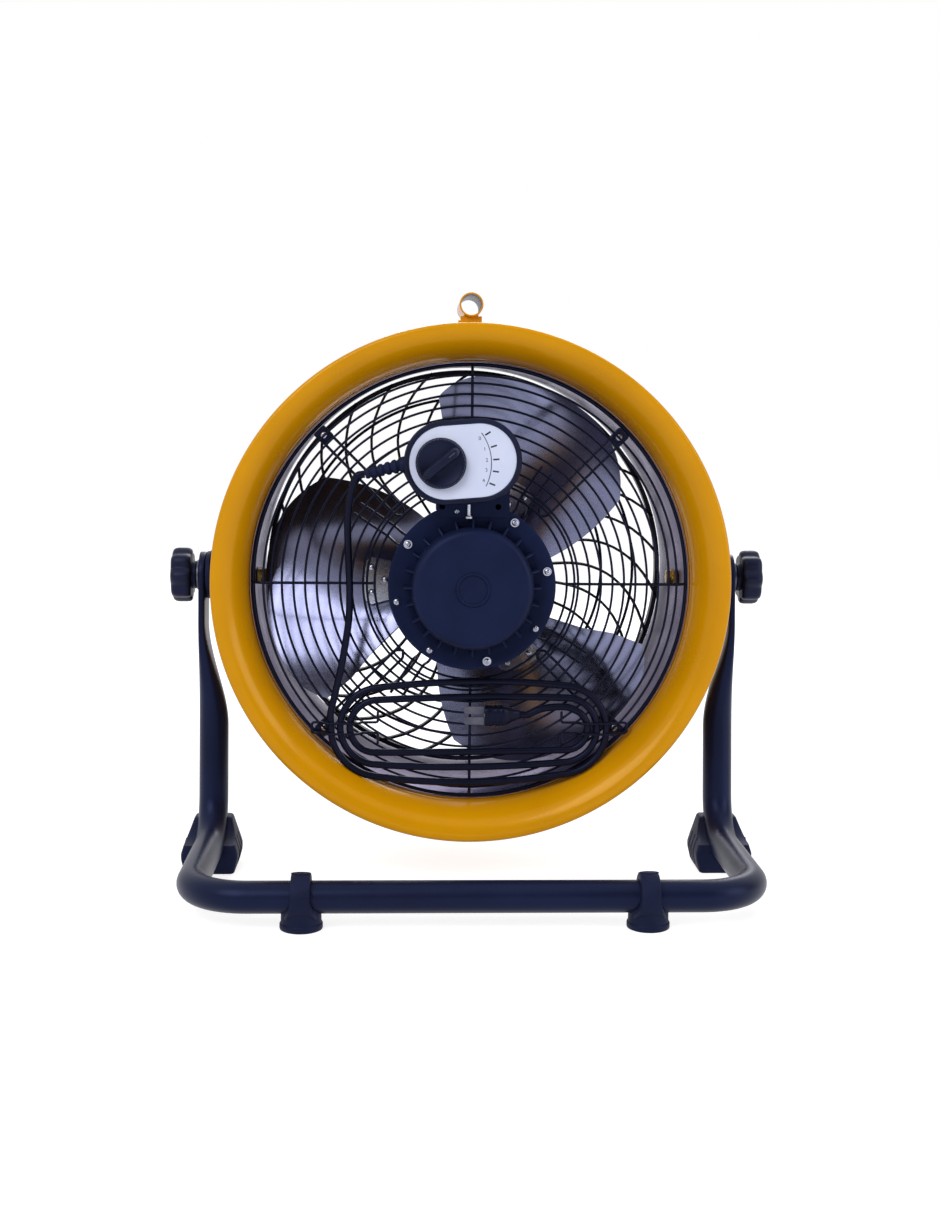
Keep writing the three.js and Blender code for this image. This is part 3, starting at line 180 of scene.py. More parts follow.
@dataclass
class Shape:
    """Polygon mesh under construction. Each method adds to it and hands it back."""

    verts: list[Vector] = field(default_factory=list)
    faces: list[list[int]] = field(default_factory=list)

    def skin(self, rings: Sequence[Sequence[Vector]], along: bool = False) -> Shape:
        """Joins a row of closed rings that have equally many points.

        Args:
            rings: The rings in order.
            along: True where the last ring joins the first. Else both ends get a flat face.

        Returns:
            This shape.
        """
        base, count = len(self.verts), len(rings[0])
        for ring in rings:
            self.verts.extend(Vector(p) for p in ring)
        for r in range(len(rings) if along else len(rings) - 1):
            a, b = base + r * count, base + (r + 1) % len(rings) * count
            self.faces += [[a + i, a + (i + 1) % count, b + (i + 1) % count, b + i] for i in range(count)]
        if not along:
            last = base + (len(rings) - 1) * count
            self.faces += [[base + i for i in reversed(range(count))], [last + i for i in range(count)]]
        return self

    def layers(self, outlines: Sequence[tuple[float, Sequence[Flat]]]) -> Shape:
        """Joins flat outlines of (x, z), each given with its depth."""
        return self.skin([[V(x, depth, z) for x, z in outline] for depth, outline in outlines])

    def lathe(self, profile: Sequence[Flat], segments: int, axis: float = 0.0) -> Shape:
        """Turns a closed profile of (radius, depth) about the drum's axis, or a line above it."""
        at, steps = V(0, 0, axis), range(segments)
        return self.skin([[at + polar(max(r, 1e-4), 360 * i / segments, d) for r, d in profile] for i in steps], True)

    def spun(self, profile: Sequence[Flat], start: Vector, along: Vector, segments: int) -> Shape:
        """Turns an open profile about any line.

        Args:
            profile: Corners of (radius, distance), from one end of the solid to the other.
            start: Where distance 0 lies.
            along: The line's direction.
            segments: Steps round the turn.

        Returns:
            This shape.
        """
        turn = along.normalized().to_track_quat("Z", "Y").to_matrix()
        return self.skin([[start + turn @ V(max(r, 0.01) * math.cos(a), max(r, 0.01) * math.sin(a), d)
                           for a in turns(segments)] for r, d in profile])

    def tube(self, line: Sequence[Vector], radius: float, sides: int = 10, closed: bool = False) -> Shape:
        """Round wire along a line.

        Args:
            line: Points of its middle.
            radius: Half the wire's thickness.
            sides: Sides of its section.
            closed: True for a hoop.

        Returns:
            This shape.
        """
        rings, side = [], None
        for i, p in enumerate(line):
            before = line[i - 1] if closed or i else p
            after = line[(i + 1) % len(line)] if closed or i + 1 < len(line) else p
            along = (after - before).normalized()
            if side is None:
                side = along.cross(BEHIND if abs(along.y) < 0.9 else V(1, 0, 0)).normalized()
            side = (side - along * side.dot(along)).normalized()
            up = along.cross(side)
            rings.append([p + side * radius * math.cos(a) + up * radius * math.sin(a) for a in turns(sides)])
        return self.skin(rings, along=closed)

    def hoop(self, radius: float, depth: float, wire: float, steps: int, sides: int) -> Shape:
        """Round wire ring about the drum's axis."""
        return self.tube([polar(radius, 360 * i / steps, depth) for i in range(steps)], wire, sides, True)

    def block(self, size: Point, centre: Vector) -> Shape:
        """Rectangular block of a size about a centre."""
        x, y, z = (s / 2 for s in size)
        return self.skin([[centre + V(a * x, d, b * z) for a, b in CORNERS] for d in (-y, y)])

    def ball(self, centre: Vector, radius: float) -> Shape:
        """Small round blob, such as a weld."""
        angles = [math.pi * (i + 0.5) / 6 - math.pi / 2 for i in range(6)]
        return self.spun([(radius * math.cos(a), radius * math.sin(a)) for a in angles], centre, BEHIND, 8)

    def moved(self, matrix: Matrix) -> Shape:
        """Moves everything made so far."""
        self.verts = [matrix @ v for v in self.verts]
        return self

    def join(self, other: Shape) -> Shape:
        """Adds another shape to this one.

        Args:
            other: The other shape.

        Returns:
            This shape.
        """
        self.faces.extend([i + len(self.verts) for i in face] for face in other.faces)
        self.verts.extend(other.verts)
        return self

    def ring_of(self, part: Shape, count: int, first: float = 0.0) -> Shape:
        """Adds copies of a shape, evenly turned about the drum's axis.

        Args:
            part: The shape.
            count: Number of copies.
            first: Turn of the first one in degrees.

        Returns:
            This shape.
        """
        for i in range(count):
            turn = about_axis(first + 360 * i / count)
            self.join(Shape([turn @ v for v in part.verts], part.faces))
        return self

    def screw(self, at: Vector, out: Vector, head: float, height: float, washer: float = 0.0) -> Shape:
        """Adds a pan-head screw with a cross on its head, and a washer if asked.

        Args:
            at: Where the screw meets the surface.
            out: Direction that the head faces.
            head: Radius of the head.
            height: Height of the head.
            washer: Radius of the washer, or 0.

        Returns:
            This shape.
        """
        if washer:
            self.spun([(0, 0), (washer, 0), (washer, 0.8), (0, 0.8)], at, out, 24)
            at = at + out * 0.8
        dome = [(head * math.cos(a), height * (0.45 + 0.55 * math.sin(a))) for a in (0.35, 0.75, 1.1)]
        self.spun([(0, 0), (head, 0), (head, height * 0.45), *dome, (head * 0.5, height),
                   (head * 0.32, height * 0.55), (0, height * 0.5)], at, out, 20)
        turn = out.to_track_quat("Z", "Y").to_matrix()
        for degrees in (20, 110):
            spin = turn @ Matrix.Rotation(math.radians(degrees), 3, "Z")
            self.skin([[at + spin @ V(a * head * 0.55, b * head * 0.1, h) for a, b in CORNERS]
                       for h in (height * 0.55, height * 0.98)])
        return self


# ---- finishes


def linear(hex_colour: str) -> tuple[float, ...]:
    """Turns an sRGB hex colour into the linear values that shaders take."""
    channels = [int(hex_colour[i:i + 2], 16) / 255 for i in (1, 3, 5)]
    return (*(c / 12.92 if c <= 0.04045 else ((c + 0.055) / 1.055) ** 2.4 for c in channels), 1.0)


def emptied(owner: bpy.types.Material | bpy.types.World) -> Tree:
    """Gives a new material or world an empty node tree.

    Args:
        owner: The material or world.

    Returns:
        Its tree.
    """
    owner.use_nodes = True
    owner.node_tree.nodes.clear()
    return owner.node_tree


def add_node(tree: Tree, kind: str, settings: dict[Any, Any] | None = None,
             links: dict[Any, Socket] | None = None) -> bpy.types.Node:
    """Adds one shader node.

    Args:
        tree: Node tree that gets it.
        kind: Blender's name of the node's type, without ShaderNode.
        settings: Values by property name, or by input name or number.
        links: Sockets that feed inputs, by input name or number.

    Returns:
        The new node.
    """
    node = tree.nodes.new(f"ShaderNode{kind}")
    for key, value in (settings or {}).items():
        if isinstance(key, str) and hasattr(node, key):
            setattr(node, key, value)
        else:
            node.inputs[key].default_value = value
    for key, socket in (links or {}).items():
        tree.links.new(socket, node.inputs[key])
    return node


def add_maths(tree: Tree, operation: str, *feeds: Socket) -> Socket:
    """Output of a node that works on two numbers."""
    return add_node(tree, "Math", {"operation": operation}, dict(enumerate(feeds))).outputs[0]


def seen_by(tree: Tree, *rays: str) -> Socket:
    """Value that is 1 for some kinds of ray and 0 for the others."""
    seen = [add_node(tree, "LightPath").outputs[f"Is {ray} Ray"] for ray in rays]
    return reduce(lambda a, b: add_maths(tree, "MAXIMUM", a, b), seen)


class Grain(Enum):
    """How a surface was made, as the stretch of its fine pattern along X, Y and Z."""

    EVEN = (1.0, 1.0, 1.0)
    ROUND_THE_DRUM = (0.05, 1.0, 0.05)  # drawn or rolled, its lines run round the drum's axis
    ALONG_THE_BAR = (0.06, 1.0, 1.0)


@dataclass(frozen=True)
class Finish:
    """A real material and how its surface was made."""

    name: str
    slot: str
    colour: str
    shade: str  # what the colour drifts to
    roughness: float
    roughness_drift: float
    grain_mm: float
    grain_depth_mm: float
    drift_mm: float
    metallic: float = 0.0
    specular: float = 0.5
    tint: str = WHITE  # of what it mirrors straight on
    coat: float = 0.0
    coat_roughness: float = 0.1
    grain: Grain = Grain.EVEN
    dust: str = ""  # lighter colour blended onto what faces up

    def material(self) -> bpy.types.Material:
        """Builds the material once and hands out the same one after that.

        Returns:
            The material.
        """
        if self.name in bpy.data.materials:
            return bpy.data.materials[self.name]
        material = bpy.data.materials.new(self.name)
        material.diffuse_color = linear(self.colour)
        tree = emptied(material)
        where = add_node(tree, "TexCoord").outputs["Object"]
        drift = add_node(tree, "TexNoise", {"Scale": 1000 / self.drift_mm, "Detail": 3.0}, {"Vector": where})
        stretched = add_node(tree, "VectorMath", {"operation": "MULTIPLY", 1: self.grain.value}, {0: where})
        fine = add_node(tree, "TexNoise", {"Scale": 1000 / self.grain_mm, "Detail": 4.0, "Roughness": 0.6},
                        {"Vector": stretched.outputs[0]}).outputs[0]
        spread = add_node(tree, "MapRange", {"From Min": 0.3, "From Max": 0.7}, {"Value": drift.outputs[0]}).outputs[0]
        colour = add_node(tree, "Mix", {"data_type": "RGBA", 6: linear(self.colour), 7: linear(self.shade)},
                          {0: spread}).outputs[2]
        if self.dust:
            colour = self.dusted(tree, colour, fine)
        rough = add_node(tree, "MapRange", {"To Min": self.roughness, "To Max": self.roughness + self.roughness_drift},
                         {"Value": add_maths(tree, "MULTIPLY", spread, fine)})
        bump = add_node(tree, "Bump", {"Strength": 1.0, "Distance": self.grain_depth_mm * MM}, {"Height": fine})
        shader = add_node(tree, "BsdfPrincipled", {
            "Metallic": self.metallic, "Specular IOR Level": self.specular, "Specular Tint": linear(self.tint),
            "Coat Weight": self.coat, "Coat Roughness": self.coat_roughness},
            {"Base Color": colour, "Roughness": rough.outputs[0], "Normal": bump.outputs[0]})
        add_node(tree, "OutputMaterial", links={"Surface": shader.outputs[0]})
        return material

    def dusted(self, tree: Tree, colour: Socket, patchy: Socket) -> Socket:
        """Blends a lighter colour onto what faces up.

        Args:
            tree: Node tree of the material.
            colour: Colour underneath.
            patchy: Pattern that breaks the veil up.

        Returns:
            The colour, lighter on what faces up.
        """
        normal = add_node(tree, "NewGeometry").outputs["Normal"]
        up = add_node(tree, "SeparateXYZ", links={0: normal}).outputs[2]
        facing = add_node(tree, "MapRange", {"From Min": 0.55, "From Max": 1.0, "To Max": 0.22}, {"Value": up})
        veil = add_maths(tree, "MULTIPLY", facing.outputs[0], patchy)
        return add_node(tree, "Mix", {"data_type": "RGBA", 7: linear(self.dust)}, {0: veil, 6: colour}).outputs[2]


# Each finish: name and slot, colour and what it drifts to, roughness and its drift, then grain size, grain depth and
# size of the colour's drift in millimetres.

# Baked enamel, sprayed on sheet steel: deep glossy yellow with a faint orange peel of 2 mm.
YELLOW_ENAMEL = Finish("yellow_baked_enamel", "yellow_paint", "#dd9803", "#d28f02", 0.22, 0.12, 2.2, 0.02, 70,
                       coat=0.1, coat_roughness=0.08, specular=0.4, tint="#ffd27a")
# Galvanised sheet, bright and rolled: soft lines round the drum from the rolls, cool grey.
GALVANISED_SHEET = Finish("galvanised_steel_sheet", "drum_sheet", "#797484", "#666171", 0.24, 0.2, 1.6, 0.012, 35,
                          metallic=1.0, tint="#c9c6d2", grain=Grain.ROUND_THE_DRUM)
# Dip-coated welded wire: glossy blue-black plastic skin that pools a little, so it is nearly smooth.
DIPPED_WIRE = Finish("dip_coated_wire", "wire_coating", "#0b0d17", "#10131f", 0.28, 0.12, 3.0, 0.03, 25,
                     specular=0.25, tint="#aab4ff")
# Powder coat on tube: satin blue-black with a fine texture of 1.1 mm, and lighter on what faces up.
POWDER_COAT = Finish("powder_coated_tube", "stand_coating", "#0f1428", "#151b35", 0.34, 0.1, 1.1, 0.03, 60,
                     specular=0.25, tint="#a9b5ff", dust="#2a3050")
# Die-cast aluminium under satin paint: sandy skin of the mould, 1.3 mm grit.
PAINTED_CASTING = Finish("painted_die_casting", "motor_coating", "#10172f", "#151e3c", 0.42, 0.12, 1.3, 0.05, 30,
                         specular=0.22, tint="#a9b5ff", dust="#272e4c")
# Pressed aluminium sheet, polished: streaks of the sheet's rolling, clear and cold.
POLISHED_ALUMINIUM = Finish("polished_aluminium_sheet", "blade_sheet", "#7c7f9c", "#6f728e", 0.15, 0.1, 2.0, 0.004,
                            45, metallic=1.0, grain=Grain.ALONG_THE_BAR)
# Bright zinc plate on turned or stamped steel: small crisp highlights, slightly mottled.
ZINC_PLATE = Finish("zinc_plated_steel", "bright_steel", "#b9bccb", "#9da1b3", 0.24, 0.14, 0.8, 0.012, 9,
                    metallic=1.0)
# Zinc plate passivated yellow, as on stamped nut plates: straw to brown in small patches.
YELLOW_ZINC = Finish("yellow_passivated_zinc", "bright_steel", "#a4813a", "#7f6a3c", 0.3, 0.15, 0.8, 0.012, 7,
                     metallic=1.0)
# Moulded ABS, spark-eroded mould: satin skin of 0.9 mm grain, nearly black.
MOULDED_ABS = Finish("moulded_abs", "black_plastic", "#0f1220", "#151a2e", 0.4, 0.12, 0.9, 0.03, 25, specular=0.3,
                     tint="#b4bcff", dust="#252a40")
# Glass-filled nylon of the outlet grille: duller than ABS.
MOULDED_NYLON = Finish("moulded_nylon", "grille_plastic", "#0c0e19", "#121522", 0.45, 0.12, 1.0, 0.03, 30,
                       specular=0.25)
# Printed polycarbonate panel: pale, satin, almost no grain.
PALE_PANEL = Finish("satin_polycarbonate", "pale_plastic", "#dbe1f8", "#d3daf4", 0.34, 0.08, 0.5, 0.008, 30)
# Screen-printed ink on the panel: flat and dark, a trace of the mesh in it.
PANEL_INK = Finish("screen_printed_ink", "pale_plastic", "#1b2036", "#23283e", 0.5, 0.1, 0.5, 0.004, 10)
# Moulded rubber: dull, with a fine sandy skin, and a lighter grey on what faces up.
MOULDED_RUBBER = Finish("moulded_rubber", "black_rubber", "#101428", "#171d36", 0.55, 0.15, 1.0, 0.05, 18,
                        specular=0.25, tint="#b4bcff", dust="#2c3148")
# Flexible PVC jacket of the cord: smooth, soft shine.
PVC_JACKET = Finish("flexible_pvc", "cord_jacket", "#080a14", "#0c0e1a", 0.3, 0.1, 1.2, 0.01, 30, specular=0.22,
                    tint="#aab4ff")
# Nickel gone dull, on plug pins, washers and the knob's pointer: grey with a soft shine. In the handle's bore it is
# painted shade, a darker grey in place of the enamel inside the tube.
DULL_NICKEL_AND_BORE_SHADE = Finish("dull_nickel_and_bore_shade", "bright_steel", "#5b5c66", "#48495a", 0.35, 0.2, 0.8, 0.012, 9, metallic=1.0)
# Enamelled copper wire, varnished in its coil: lines of single turns, 0.9 mm each.
COPPER_WINDING = Finish("varnished_copper_winding", "copper_winding", "#b5652f", "#8a4a22", 0.3, 0.2, 0.9, 0.25,
                        12, metallic=0.9)
# Stacked electrical sheet: 0.5 mm sheets, drawn at 1 mm, on edge.
LAMINATED_STEEL = Finish("laminated_steel", "lamination", "#7b7c84", "#5b5c63", 0.42, 0.2, 1.0, 0.1, 15,
                         metallic=0.9, grain=Grain.ROUND_THE_DRUM)


# ---- pieces


def new_object(name: str, data: bpy.types.ID) -> bpy.types.Object:
    """Puts new data into the scene.

    Args:
        name: The object's name.
        data: Its mesh, lamp, camera or text.

    Returns:
        The object.
    """
    obj = bpy.data.objects.new(name, data)
    bpy.context.scene.collection.objects.link(obj)
    return obj


def build(name: str, shape: Shape, finish: Finish, *solids: str, body: str = "head", slot: str = "",
          crease: float = 35.0, inner: tuple[Finish, Callable[[Vector], bool]] | None = None) -> bpy.types.Object:
    """Makes one piece of the fan.

    Args:
        name: The piece's name.
        shape: Its mesh in the drum's frame, millimetres.
        finish: Its finish.
        *solids: The solids that it stands for.
        body: The body that carries it.
        slot: Its finish slot, where that isn't the finish's own; not used.
        crease: Edges sharper than this, in degrees, stay hard.
        inner: A second finish, and which face centres (millimetres) take it.

    Returns:
        The object.
    """
    mesh = bpy.data.meshes.new(name)
    mesh.from_pydata([(v + DRUM_ORIGIN) * MM for v in shape.verts], [], shape.faces)
    work = bmesh.new()
    work.from_mesh(mesh)
    bmesh.ops.recalc_face_normals(work, faces=work.faces)
    work.to_mesh(mesh)
    work.free()
    mesh.materials.append(finish.material())
    if inner is not None:
        mesh.materials.append(inner[0].material())
        for face in mesh.polygons:
            face.material_index = int(inner[1](face.center / MM - DRUM_ORIGIN))
    obj = new_object(name, mesh)
    mesh.shade_smooth()
    mesh.set_sharp_from_angle(angle=math.radians(crease))
    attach(obj, body)
    if solids:
        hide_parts(*solids)
    log.info("piece %s: %d faces", name, len(mesh.polygons))
    return obj


def fasten(name: str, places: Sequence[tuple[Vector, Vector]], head: float, height: float,
           washers: dict[int, float] | None = None) -> None:
    """Makes one piece of a set of screws.

    Args:
        name: The piece's name.
        places: Where each screw meets the surface, and where its head faces.
        head: Radius of a head.
        height: Height of a head.
        washers: Radius of the washer under a screw, by the screw's number.
    """
    screws = Shape()
    for i, (at, out) in enumerate(places):
        screws.screw(at, out, head, height, (washers or {}).get(i, 0.0))
    build(name, screws, ZINC_PLATE, crease=40)


def dress(finish: Finish, *nodes: str) -> None:
    """Gives carried-over solids their finish.

    Args:
        finish: The finish.
        *nodes: Names of the solids.
    """
    for node in nodes:
        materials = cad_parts[node].data.materials
        materials.clear()
        materials.append(finish.material())


# ---- the drum


@dataclass
class Drum:
    """Rolled barrel with its yellow intake bell, outlet rim and carrying handle."""

    inner: float = 183.0
    sheet: float = 1.2
    length: float = 156.0
    pivot_depth: float = 62.0
    collar: float = 14.0
    rivets: int = 8
    seam_angle: float = 271.0
    seam_bead: float = 0.7
    handle_axis: float = 231.5
    handle_radius: float = 10.0
    handle_wall: float = 1.4
    handle_length: float = 72.0
    tab_toe: float = 13.0

    def rim_profile(self, lip: float, reach: float, bead: float) -> list[Flat]:
        """Section of a flared rim with a rolled edge.

        Args:
            lip: Outer radius of the rolled edge.
            reach: How far the edge stands out from the barrel's end.
            bead: Radius of the rolled edge.

        Returns:
            Closed profile of (radius, distance out of the barrel).
        """
        near, mid = self.inner + self.sheet + SEAT, lip - bead
        far = near + self.sheet
        made = [(near, -self.collar)]
        made += [(mid - (mid - near) * math.cos(a), reach * math.sin(a)) for a in stops(0, math.pi / 2, 24)]
        made += arc((mid, reach - bead), bead, 80, -117, 14)
        made += [(mid - (mid - far) * math.cos(a), (reach - self.sheet) * math.sin(a))
                 for a in stops(math.radians(66), 0, 20)]
        return made + [(far, -self.collar)]

    def build_barrel(self) -> None:
        """Rolls the barrel: bare bright sheet inside, enamel outside, with its welded seam."""
        half = self.sheet / 2
        mid = self.inner + half
        wall = arc((mid, half), half, 180, 360, 6) + arc((mid, self.length - half), half, 0, 180, 6)
        shape = Shape().lathe(wall, 192)
        seam = [polar(self.inner + 0.1, self.seam_angle, d) for d in stops(4, self.length - 4, 24)]
        shape.tube(seam, self.seam_bead, 8)
        build("rolled_barrel", shape, YELLOW_ENAMEL, "drum_barrel", slot="drum_sheet",
              inner=(GALVANISED_SHEET, lambda p: math.hypot(p.x, p.z) < mid))

    def build_rims(self) -> None:
        """Spins the intake bell and the outlet rim, each with rivets round its collar."""
        for name, end, facing, sizes, steps, node in (
                ("intake_bell_spun", 0.0, -1, (213.3, 36.0, 3.0), 224, "intake_bell"),
                ("outlet_rim_spun", self.length, 1, (191.9, 6.0, 2.6), 176, "outlet_rim")):
            shape = Shape().lathe([(r, end + facing * out) for r, out in self.rim_profile(*sizes)], steps)
            for i in range(self.rivets):
                angle = 360 / self.rivets * (i + 0.5)
                foot = polar(self.inner + 2 * self.sheet + SEAT, angle, end - facing * self.collar * 0.6)
                shape.spun([(0, -0.3), (2.6, -0.3), (2.4, 0.5), (1.5, 1.1), (0, 1.25)], foot, polar(1, angle), 14)
            build(name, shape, YELLOW_ENAMEL, node, crease=50)

    def build_handle(self) -> None:
        """Bends the handle: a short tube welded on two footed tabs, screwed to the barrel."""
        outer, axis = self.handle_radius, self.handle_axis
        near, bore = self.pivot_depth - self.handle_length / 2, outer - self.handle_wall
        far, floor = near + self.handle_length, self.inner + self.sheet + SEAT
        wall = [(bore + 0.3, near), (outer - 0.4, near), (outer, near + 0.4), (outer, far - 0.4), (outer - 0.4, far),
                (bore + 0.3, far), (bore, far - 0.3), (bore, near + 0.3)]
        shape, places = Shape().lathe(wall, 64, axis), []
        for end in (-1, 1):
            depth = self.pivot_depth + end * (self.handle_length / 2 - 7)
            toe = depth - end * self.tab_toe
            bent = [V(depth, axis - outer + 0.6, 0), V(depth, floor + 1, 0), V(toe, floor + 1, 0)]
            tab = strip(rounded(bent, 2.6), 1)
            shape.skin([[V(x, y, z) for y, z in tab] for x in (-9.0, -8.6, 8.6, 9.0)])
            shape.tube([V(x, depth + end * 0.4, axis - math.sqrt(outer ** 2 - x * x) + 0.2)
                        for x in stops(-5.6, 5.6, 12)], 1.1, 8)
            places += [(V(x, depth - end * 8, floor + 1.9), UP) for x in (-4.6, 4.6)]
        # The bore takes the darker grey nickel finish: painted shade inside the tube.
        build("carrying_handle", shape, YELLOW_ENAMEL, "carry_handle", crease=40,
              inner=(DULL_NICKEL_AND_BORE_SHADE, lambda p: math.hypot(p.x, p.z - axis) < bore + 0.1))
        fasten("handle_screws", places, 2.1, 1.4)

    def assemble(self) -> None:
        """Builds the drum's pieces."""
        self.build_barrel()
        self.build_rims()
        self.build_handle()


# ---- intake guard and cord hooks


@dataclass
class IntakeGuard:
    """Welded wire guard: rings, spokes, stays with their lugs, and the hairpins that carry the motor."""

    rings: tuple[float, ...] = (172.0, 165.5, *(156.7 - 9.6 * i for i in range(8)), 86.4, 80.0)
    rim: float = 181.0
    rim_wire: float = 1.6
    ring_wire: float = 1.0
    spoke_wire: float = 1.2
    face: float = -9.0
    behind: float = 2.35  # from the rings' middle back to that of the hairpins
    spoke_gap: float = 9.0
    loop_gap: float = 10.0
    loop_start: float = 113.5
    loop_welds: Flat = (103.9, 86.4)
    screw_circle: float = 64.0
    screw_angle: float = 11.7
    flange_front: float = -30.0
    lug_middle: float = 172.4
    hook_wire: float = 1.1
    hook_arm: float = 4.5
    hook_height: float = -121.0
    cord_front: float = -16.3

    def weld(self, shape: Shape, radii: Sequence[float], half: float) -> None:
        """Puts weld blobs on both wires of a hairpin.

        Args:
            shape: The hairpin, along +X.
            radii: Radii of the rings that it crosses.
            half: How far each wire lies from the middle.
        """
        for radius in radii:
            for side in (-1, 1):
                shape.ball(V(radius, self.face + 1.2, side * half), 1.3)

    def build_wires(self) -> None:
        """Rings, rim and four single spokes, with a weld blob at each crossing."""
        shape = Shape().hoop(self.rim, 0.0, self.rim_wire, 160, 12)
        for radius in self.rings:
            shape.hoop(radius, self.face, self.ring_wire, 144 if radius > 110 else 96, 8)
        behind = self.face + self.ring_wire + self.spoke_wire - 0.25
        line = [V(self.rim, 0, 0), V(178, behind + 3, 0), V(174.5, behind, 0), V(78.8, behind, 0)]
        spoke = Shape().tube(rounded(line, 4), self.spoke_wire)
        for radius in self.rings:
            spoke.ball(V(radius, self.face + 1.05, 0), 1.35)
        build("welded_guard", shape.ring_of(spoke, 4), DIPPED_WIRE, "intake_guard", crease=60)

    def build_stays(self) -> None:
        """Four long hairpins with their lugs, and one screw in each lug."""
        depth, half, middle = self.face + self.behind, self.spoke_gap / 2, self.lug_middle
        bent = hairpin([V(175, depth + 1, half), V(84, depth, half), V(79.8, depth, half - 4.2)])
        lug = rectangle(middle - 6.5, middle + 6.5, -6, 6, 2.2)
        for number, angle in enumerate(DIAGONALS, 1):
            shape = Shape().tube(rounded(bent, 4.5, 6), self.spoke_wire)
            self.weld(shape, self.rings[:-1], half)
            shape.layers([(depth + 1.5, lug), (depth + 3.1, lug)]).moved(about_axis(angle))
            build(f"guard_hairpin_{number}", shape, DIPPED_WIRE, f"guard_stay_{number}", crease=50)
        fasten("lug_screws", [(polar(middle, a, depth + 1.5), AHEAD) for a in DIAGONALS], 2.9, 1.9)

    def build_loops(self) -> None:
        """Four short hairpins that carry the motor's flange at its screws."""
        behind = self.flange_front + SEAT + self.spoke_wire
        half, depth = self.loop_gap / 2, self.face + self.behind
        arm = [(self.loop_start, depth), (78.5, depth), (71.5, behind), (self.screw_circle, behind)]
        out = rounded([V(r, d, half) for r, d in arm], 4.5)
        nose = [V(self.screw_circle + half * math.cos(a), behind, half * math.sin(a))
                for a in stops(math.pi * 0.625, math.pi * 1.375, 6)]
        for number, angle in enumerate(DIAGONALS, 1):
            shape = Shape().tube(out + nose + [V(p.x, p.y, -p.z) for p in reversed(out)], self.spoke_wire)
            self.weld(shape, self.loop_welds, half)
            shape.moved(about_axis(self.screw_angle + angle))
            build(f"motor_hairpin_{number}", shape, DIPPED_WIRE, f"motor_loop_{number}", crease=60)

    def build_hooks(self) -> None:
        """Two bent wires that hold the hank of cord against the guard."""
        low = self.face - self.ring_wire - SEAT - self.hook_wire
        high, arm = self.cord_front - SEAT - self.hook_wire, self.hook_arm
        upper = ((77, low, 13), (77, low, arm + 0.5), (79, low, arm), (90, low, arm), (94, high, arm),
                 (121, high, arm), (125, low, arm), (132, low, arm))
        for name, side in SIDES:
            line = hairpin([V(side * x, d, z) for x, d, z in upper])
            points = rounded([p + V(0, 0, self.hook_height) for p in line], 2.6)
            shape = Shape().tube(points, 1.08).ball(points[0], 1.15).ball(points[-1], 1.15)
            build(f"cord_hook_wire_{name}", shape, DIPPED_WIRE, f"cord_hook_{name}", crease=60)

    def assemble(self) -> None:
        """Builds the guard and its hooks."""
        self.build_wires()
        self.build_stays()
        self.build_loops()
        self.build_hooks()


# ---- outlet grille


@dataclass
class OutletGrille:
    """Moulded outlet grille: thirty curved ribs on edge between a hub disc and a rim, with two wire hoops."""

    near: float = 142.0
    depth: float = 11.0
    rim: float = 180.6
    rim_wall: float = 4.0
    rib_wall: float = 2.4
    ribs: int = 30
    foot: float = 42.0
    disc: float = 46.0
    straight_to: float = 90.0
    sweep: float = 0.00286
    first: float = 135.0
    hoops: tuple[float, ...] = (155.0, 126.0)

    def rib(self) -> Shape:
        """One rib along +X, whose line lags behind the radius towards the rim.

        Returns:
            The rib.
        """
        rings, half = [], self.rib_wall / 2
        for share in stops(0, 1, 20):
            radius = lerp(self.foot, self.rim - 0.5, share)
            here, after = (polar(r, -self.sweep * max(0.0, r - self.straight_to) ** 2) for r in (radius, radius + 1))
            along = (after - here).normalized()
            across = V(-along.z, 0, along.x)
            top = lerp(self.depth, self.depth * 0.62, max(0.0, (share - 0.6) / 0.4) ** 2)
            edge = [(0.6, 0), (1, 0.6), (0.85, top - 0.6), (0.5, top)]
            rings.append([here + across * (half * a) + V(0, self.near + d, 0)
                          for a, d in edge + [(-a, d) for a, d in reversed(edge)]])
        return Shape().skin(rings)

    def assemble(self) -> None:
        """Builds the grille and its hoops."""
        near, far, rim, disc = self.near, self.near + self.depth, self.rim, self.disc
        wall = rim - self.rim_wall
        shape = Shape().lathe([(wall, near + 0.6), (wall + 0.6, near), (rim - 0.6, near), (rim, near + 0.6),
                               (rim, far - 0.8), (rim - 0.8, far), (wall + 0.8, far), (wall, far - 0.8)], 160)
        shape.lathe([(0, near), (disc - 0.6, near), (disc, near + 0.6), (disc, far - 0.6), (disc - 1, far + 0.4),
                     (disc - 3, far + 1.5), (disc - 10, far + 1.5), (disc - 11, far + 0.7), (disc - 30, far + 0.7),
                     (disc - 31, far + 1.4), (0, far + 1.5)], 90)
        build("curved_rib_grille", shape.ring_of(self.rib(), self.ribs, self.first), MOULDED_NYLON, "outlet_grille")
        for i, radius in enumerate(self.hoops):
            hoop = Shape().hoop(radius, near - SEAT - 1.4, 1.35, 128, 10)
            build(f"grille_wire_hoop_{i + 1}", hoop, DIPPED_WIRE, f"grille_hoop_{i + 1}", crease=60)
        fasten("grille_screws", [(polar(rim - 2, a, far), BEHIND) for a in DIAGONALS], 1.9, 1.3)


# ---- motor


